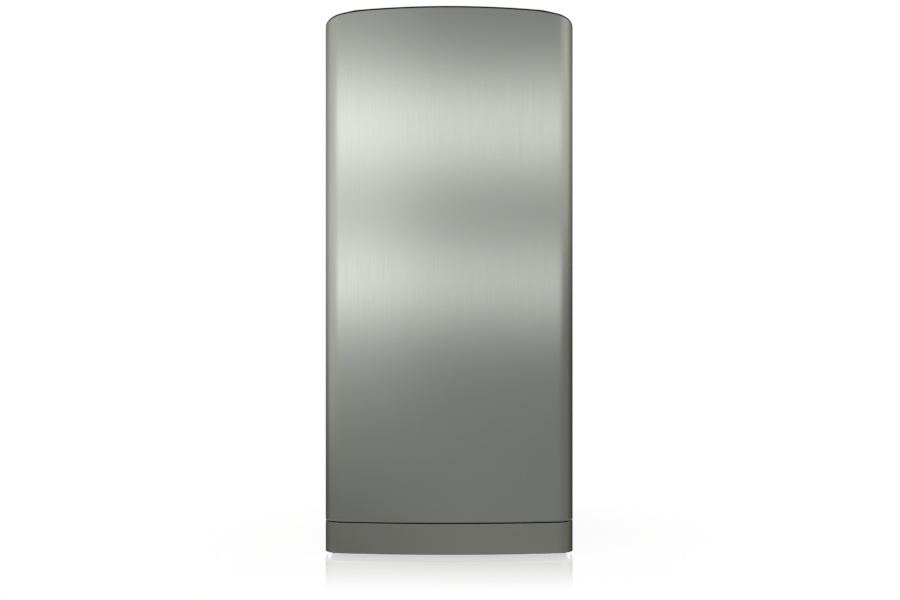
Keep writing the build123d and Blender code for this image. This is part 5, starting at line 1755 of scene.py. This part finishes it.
@dataclass(frozen=True)
class Floor:
    """Polished white floor: a mirror near the plinth, a faint shadow, white further off.

    Its fades run in metres from the middle of the fridge: x to the right and y to the back.

    Attributes:
        reach: Radius of the floor.
        sides: Sides of its outline.
        near: Where the mirror sets in towards the plinth (y).
        foot: Where it weakens at the plinth's foot (y).
        beside: Where it ends beside the fridge (x, to either side).
        under: Where it ends under the fridge (y).
        shadow: How the shadow fades with the distance from the middle.
        glaze: Index of refraction of the polish.
        gloss: Roughness of the mirror.
        paint: Colour under the polish.
    """

    reach: float = 6.0
    sides: int = 24
    near: Fade = Fade(FRONT - 345 * MM, FRONT - 30 * MM, ease=Ease.STEADY)
    foot: Fade = Fade(FRONT - 60 * MM, FRONT - 25 * MM, 1.0, 0.76, Ease.STEADY)
    beside: Fade = Fade(340 * MM, 480 * MM, 1.0, 0.0, Ease.STEADY)
    under: Fade = Fade(0.0, -0.2)
    shadow: Fade = Fade(0.35, 0.8, 0.1, 0.0)
    glaze: float = 1.55
    gloss: float = 0.07
    paint: str = "#F2F2F0"

    def build(self) -> None:
        """Lay the floor as one round face."""
        angles = [2 * math.pi * step / self.sides for step in range(self.sides)]
        points = [(self.reach * math.cos(angle), self.reach * math.sin(angle), 0.0) for angle in angles]
        mesh = bpy.data.meshes.new("floor")
        mesh.from_pydata(points, [], [tuple(range(self.sides))])
        mesh.materials.append(self.material())
        placed("floor", mesh)

    def material(self) -> bpy.types.Material:
        """Make the material, see-through in other pieces' reflections and pale paint to scattered light.

        Returns:
            The material.
        """
        material = bpy.data.materials.new("polished_white_floor")
        tree = empty_tree(material)
        place = add_node(tree, "TexCoord").outputs["Object"]
        x, y, _ = add_node(tree, "SeparateXYZ", {0: place}).outputs
        off_middle = add_node(tree, "Math", {0: x}, operation="ABSOLUTE")
        glaze = add_node(tree, "Fresnel", {"IOR": self.glaze})
        ends = ((off_middle, self.beside), (y, self.under))
        shine = dimmed(tree, glaze, (y, self.near), (y, self.foot), *ends)
        away = add_node(tree, "VectorMath", {0: place}, operation="LENGTH").outputs["Value"]
        shade = dimmed(tree, 1.0, (away, self.shadow))
        white = add_node(tree, "Emission", {"Strength": 1.0})
        paint = add_node(tree, "BsdfDiffuse", {"Color": linear(self.paint)})
        mirror = add_node(tree, "BsdfGlossy", {"Color": WHITE, "Roughness": self.gloss})
        clear = add_node(tree, "BsdfTransparent")
        path = add_node(tree, "LightPath").outputs
        ground = add_node(tree, "MixShader", {0: shade, 1: white, 2: paint})
        seen = add_node(tree, "MixShader", {0: shine, 1: ground, 2: mirror})
        other = add_node(tree, "MixShader", {0: path["Is Glossy Ray"], 1: paint, 2: clear})
        surface = add_node(tree, "MixShader", {0: path["Is Camera Ray"], 1: other, 2: seen})
        add_node(tree, "OutputMaterial", {"Surface": surface})
        return material


@dataclass(frozen=True)
class Lamp:
    """A soft rectangular lamp.

    Attributes:
        name: What it is for.
        place: Where it hangs.
        width: Its width.
        height: Its height.
        power: Its power in watts.
    """

    name: str
    place: Point
    width: float
    height: float
    power: float


@dataclass(frozen=True)
class Studio:
    """The white room with its soft lamps, the floor and the camera.

    Attributes:
        lamps: Key lamp in front and fill lamps at the sides and behind.
        aim: Point on the fridge that every lamp faces.
        camera_place: Where the camera stands.
        lens_mm: Focal length.
        frame_mm: Width of the frame behind the lens.
    """

    lamps: tuple[Lamp, ...] = (
        Lamp("key", (-1.2, -2.2, 2.6), 2.5, 1.5, 36.0),
        Lamp("left_fill", (-3.0, 0.5, 1.4), 2.0, 2.0, 9.0),
        Lamp("right_fill", (3.0, 0.5, 1.4), 2.0, 2.0, 12.0),
        Lamp("rear_fill", (0.3, 3.0, 1.4), 2.0, 2.0, 20.0),
    )
    aim: Point = (0.0, 0.0, 0.6)
    camera_place: Point = (0.0018, -3.4517, 0.565)
    lens_mm: float = 57.44
    frame_mm: float = 36.0

    def build(self) -> None:
        """Set up the room, the lamps, the floor and the camera."""
        bpy.context.scene.view_settings.view_transform = "Standard"
        Room().build()
        for lamp in self.lamps:
            self.build_lamp(lamp)
        Floor().build()
        self.build_camera()

    def build_camera(self) -> None:
        """Stand a level camera in front of the door."""
        data = bpy.data.cameras.new("camera")
        data.lens = self.lens_mm
        data.sensor_width = self.frame_mm
        camera = placed("camera", data)
        camera.location = self.camera_place
        camera.rotation_euler = (math.pi / 2, 0.0, 0.0)
        bpy.context.scene.camera = camera

    def build_lamp(self, lamp: Lamp) -> None:
        """Hang one soft lamp, which lights the dull surfaces and stays out of the mirror ones.

        Args:
            lamp: What to hang.
        """
        data = bpy.data.lights.new(lamp.name, "AREA")
        data.shape = "RECTANGLE"
        data.size = lamp.width
        data.size_y = lamp.height
        data.energy = lamp.power
        piece = placed(lamp.name, data)
        piece.location = lamp.place
        aim = Vector(self.aim) - piece.location
        piece.rotation_euler = aim.to_track_quat("-Z", "Y").to_euler()
        piece.visible_camera = False
        piece.visible_glossy = False


def dress_cad_nodes() -> None:
    """Give every CAD node the finish of its slot, shown or not."""
    for name, node in frame["nodes"].items():
        dress(node, FINISH_OF_SLOT[SLOT_OF[name]])


def main() -> None:
    """Build the sub-assemblies in order, then the studio."""
    logging.basicConfig(level=logging.INFO, format="%(message)s")
    dress_cad_nodes()
    inside = (FoodSpace(), Controls(), InteriorLamp(), CoolingCircuit())
    for assembly in (Door(), Plinth(), Cabinet(), *inside):
        LOG.info("building %s", type(assembly).__name__)
        assembly.build()
    Studio().build()


if __name__ == "__main__":
    main()
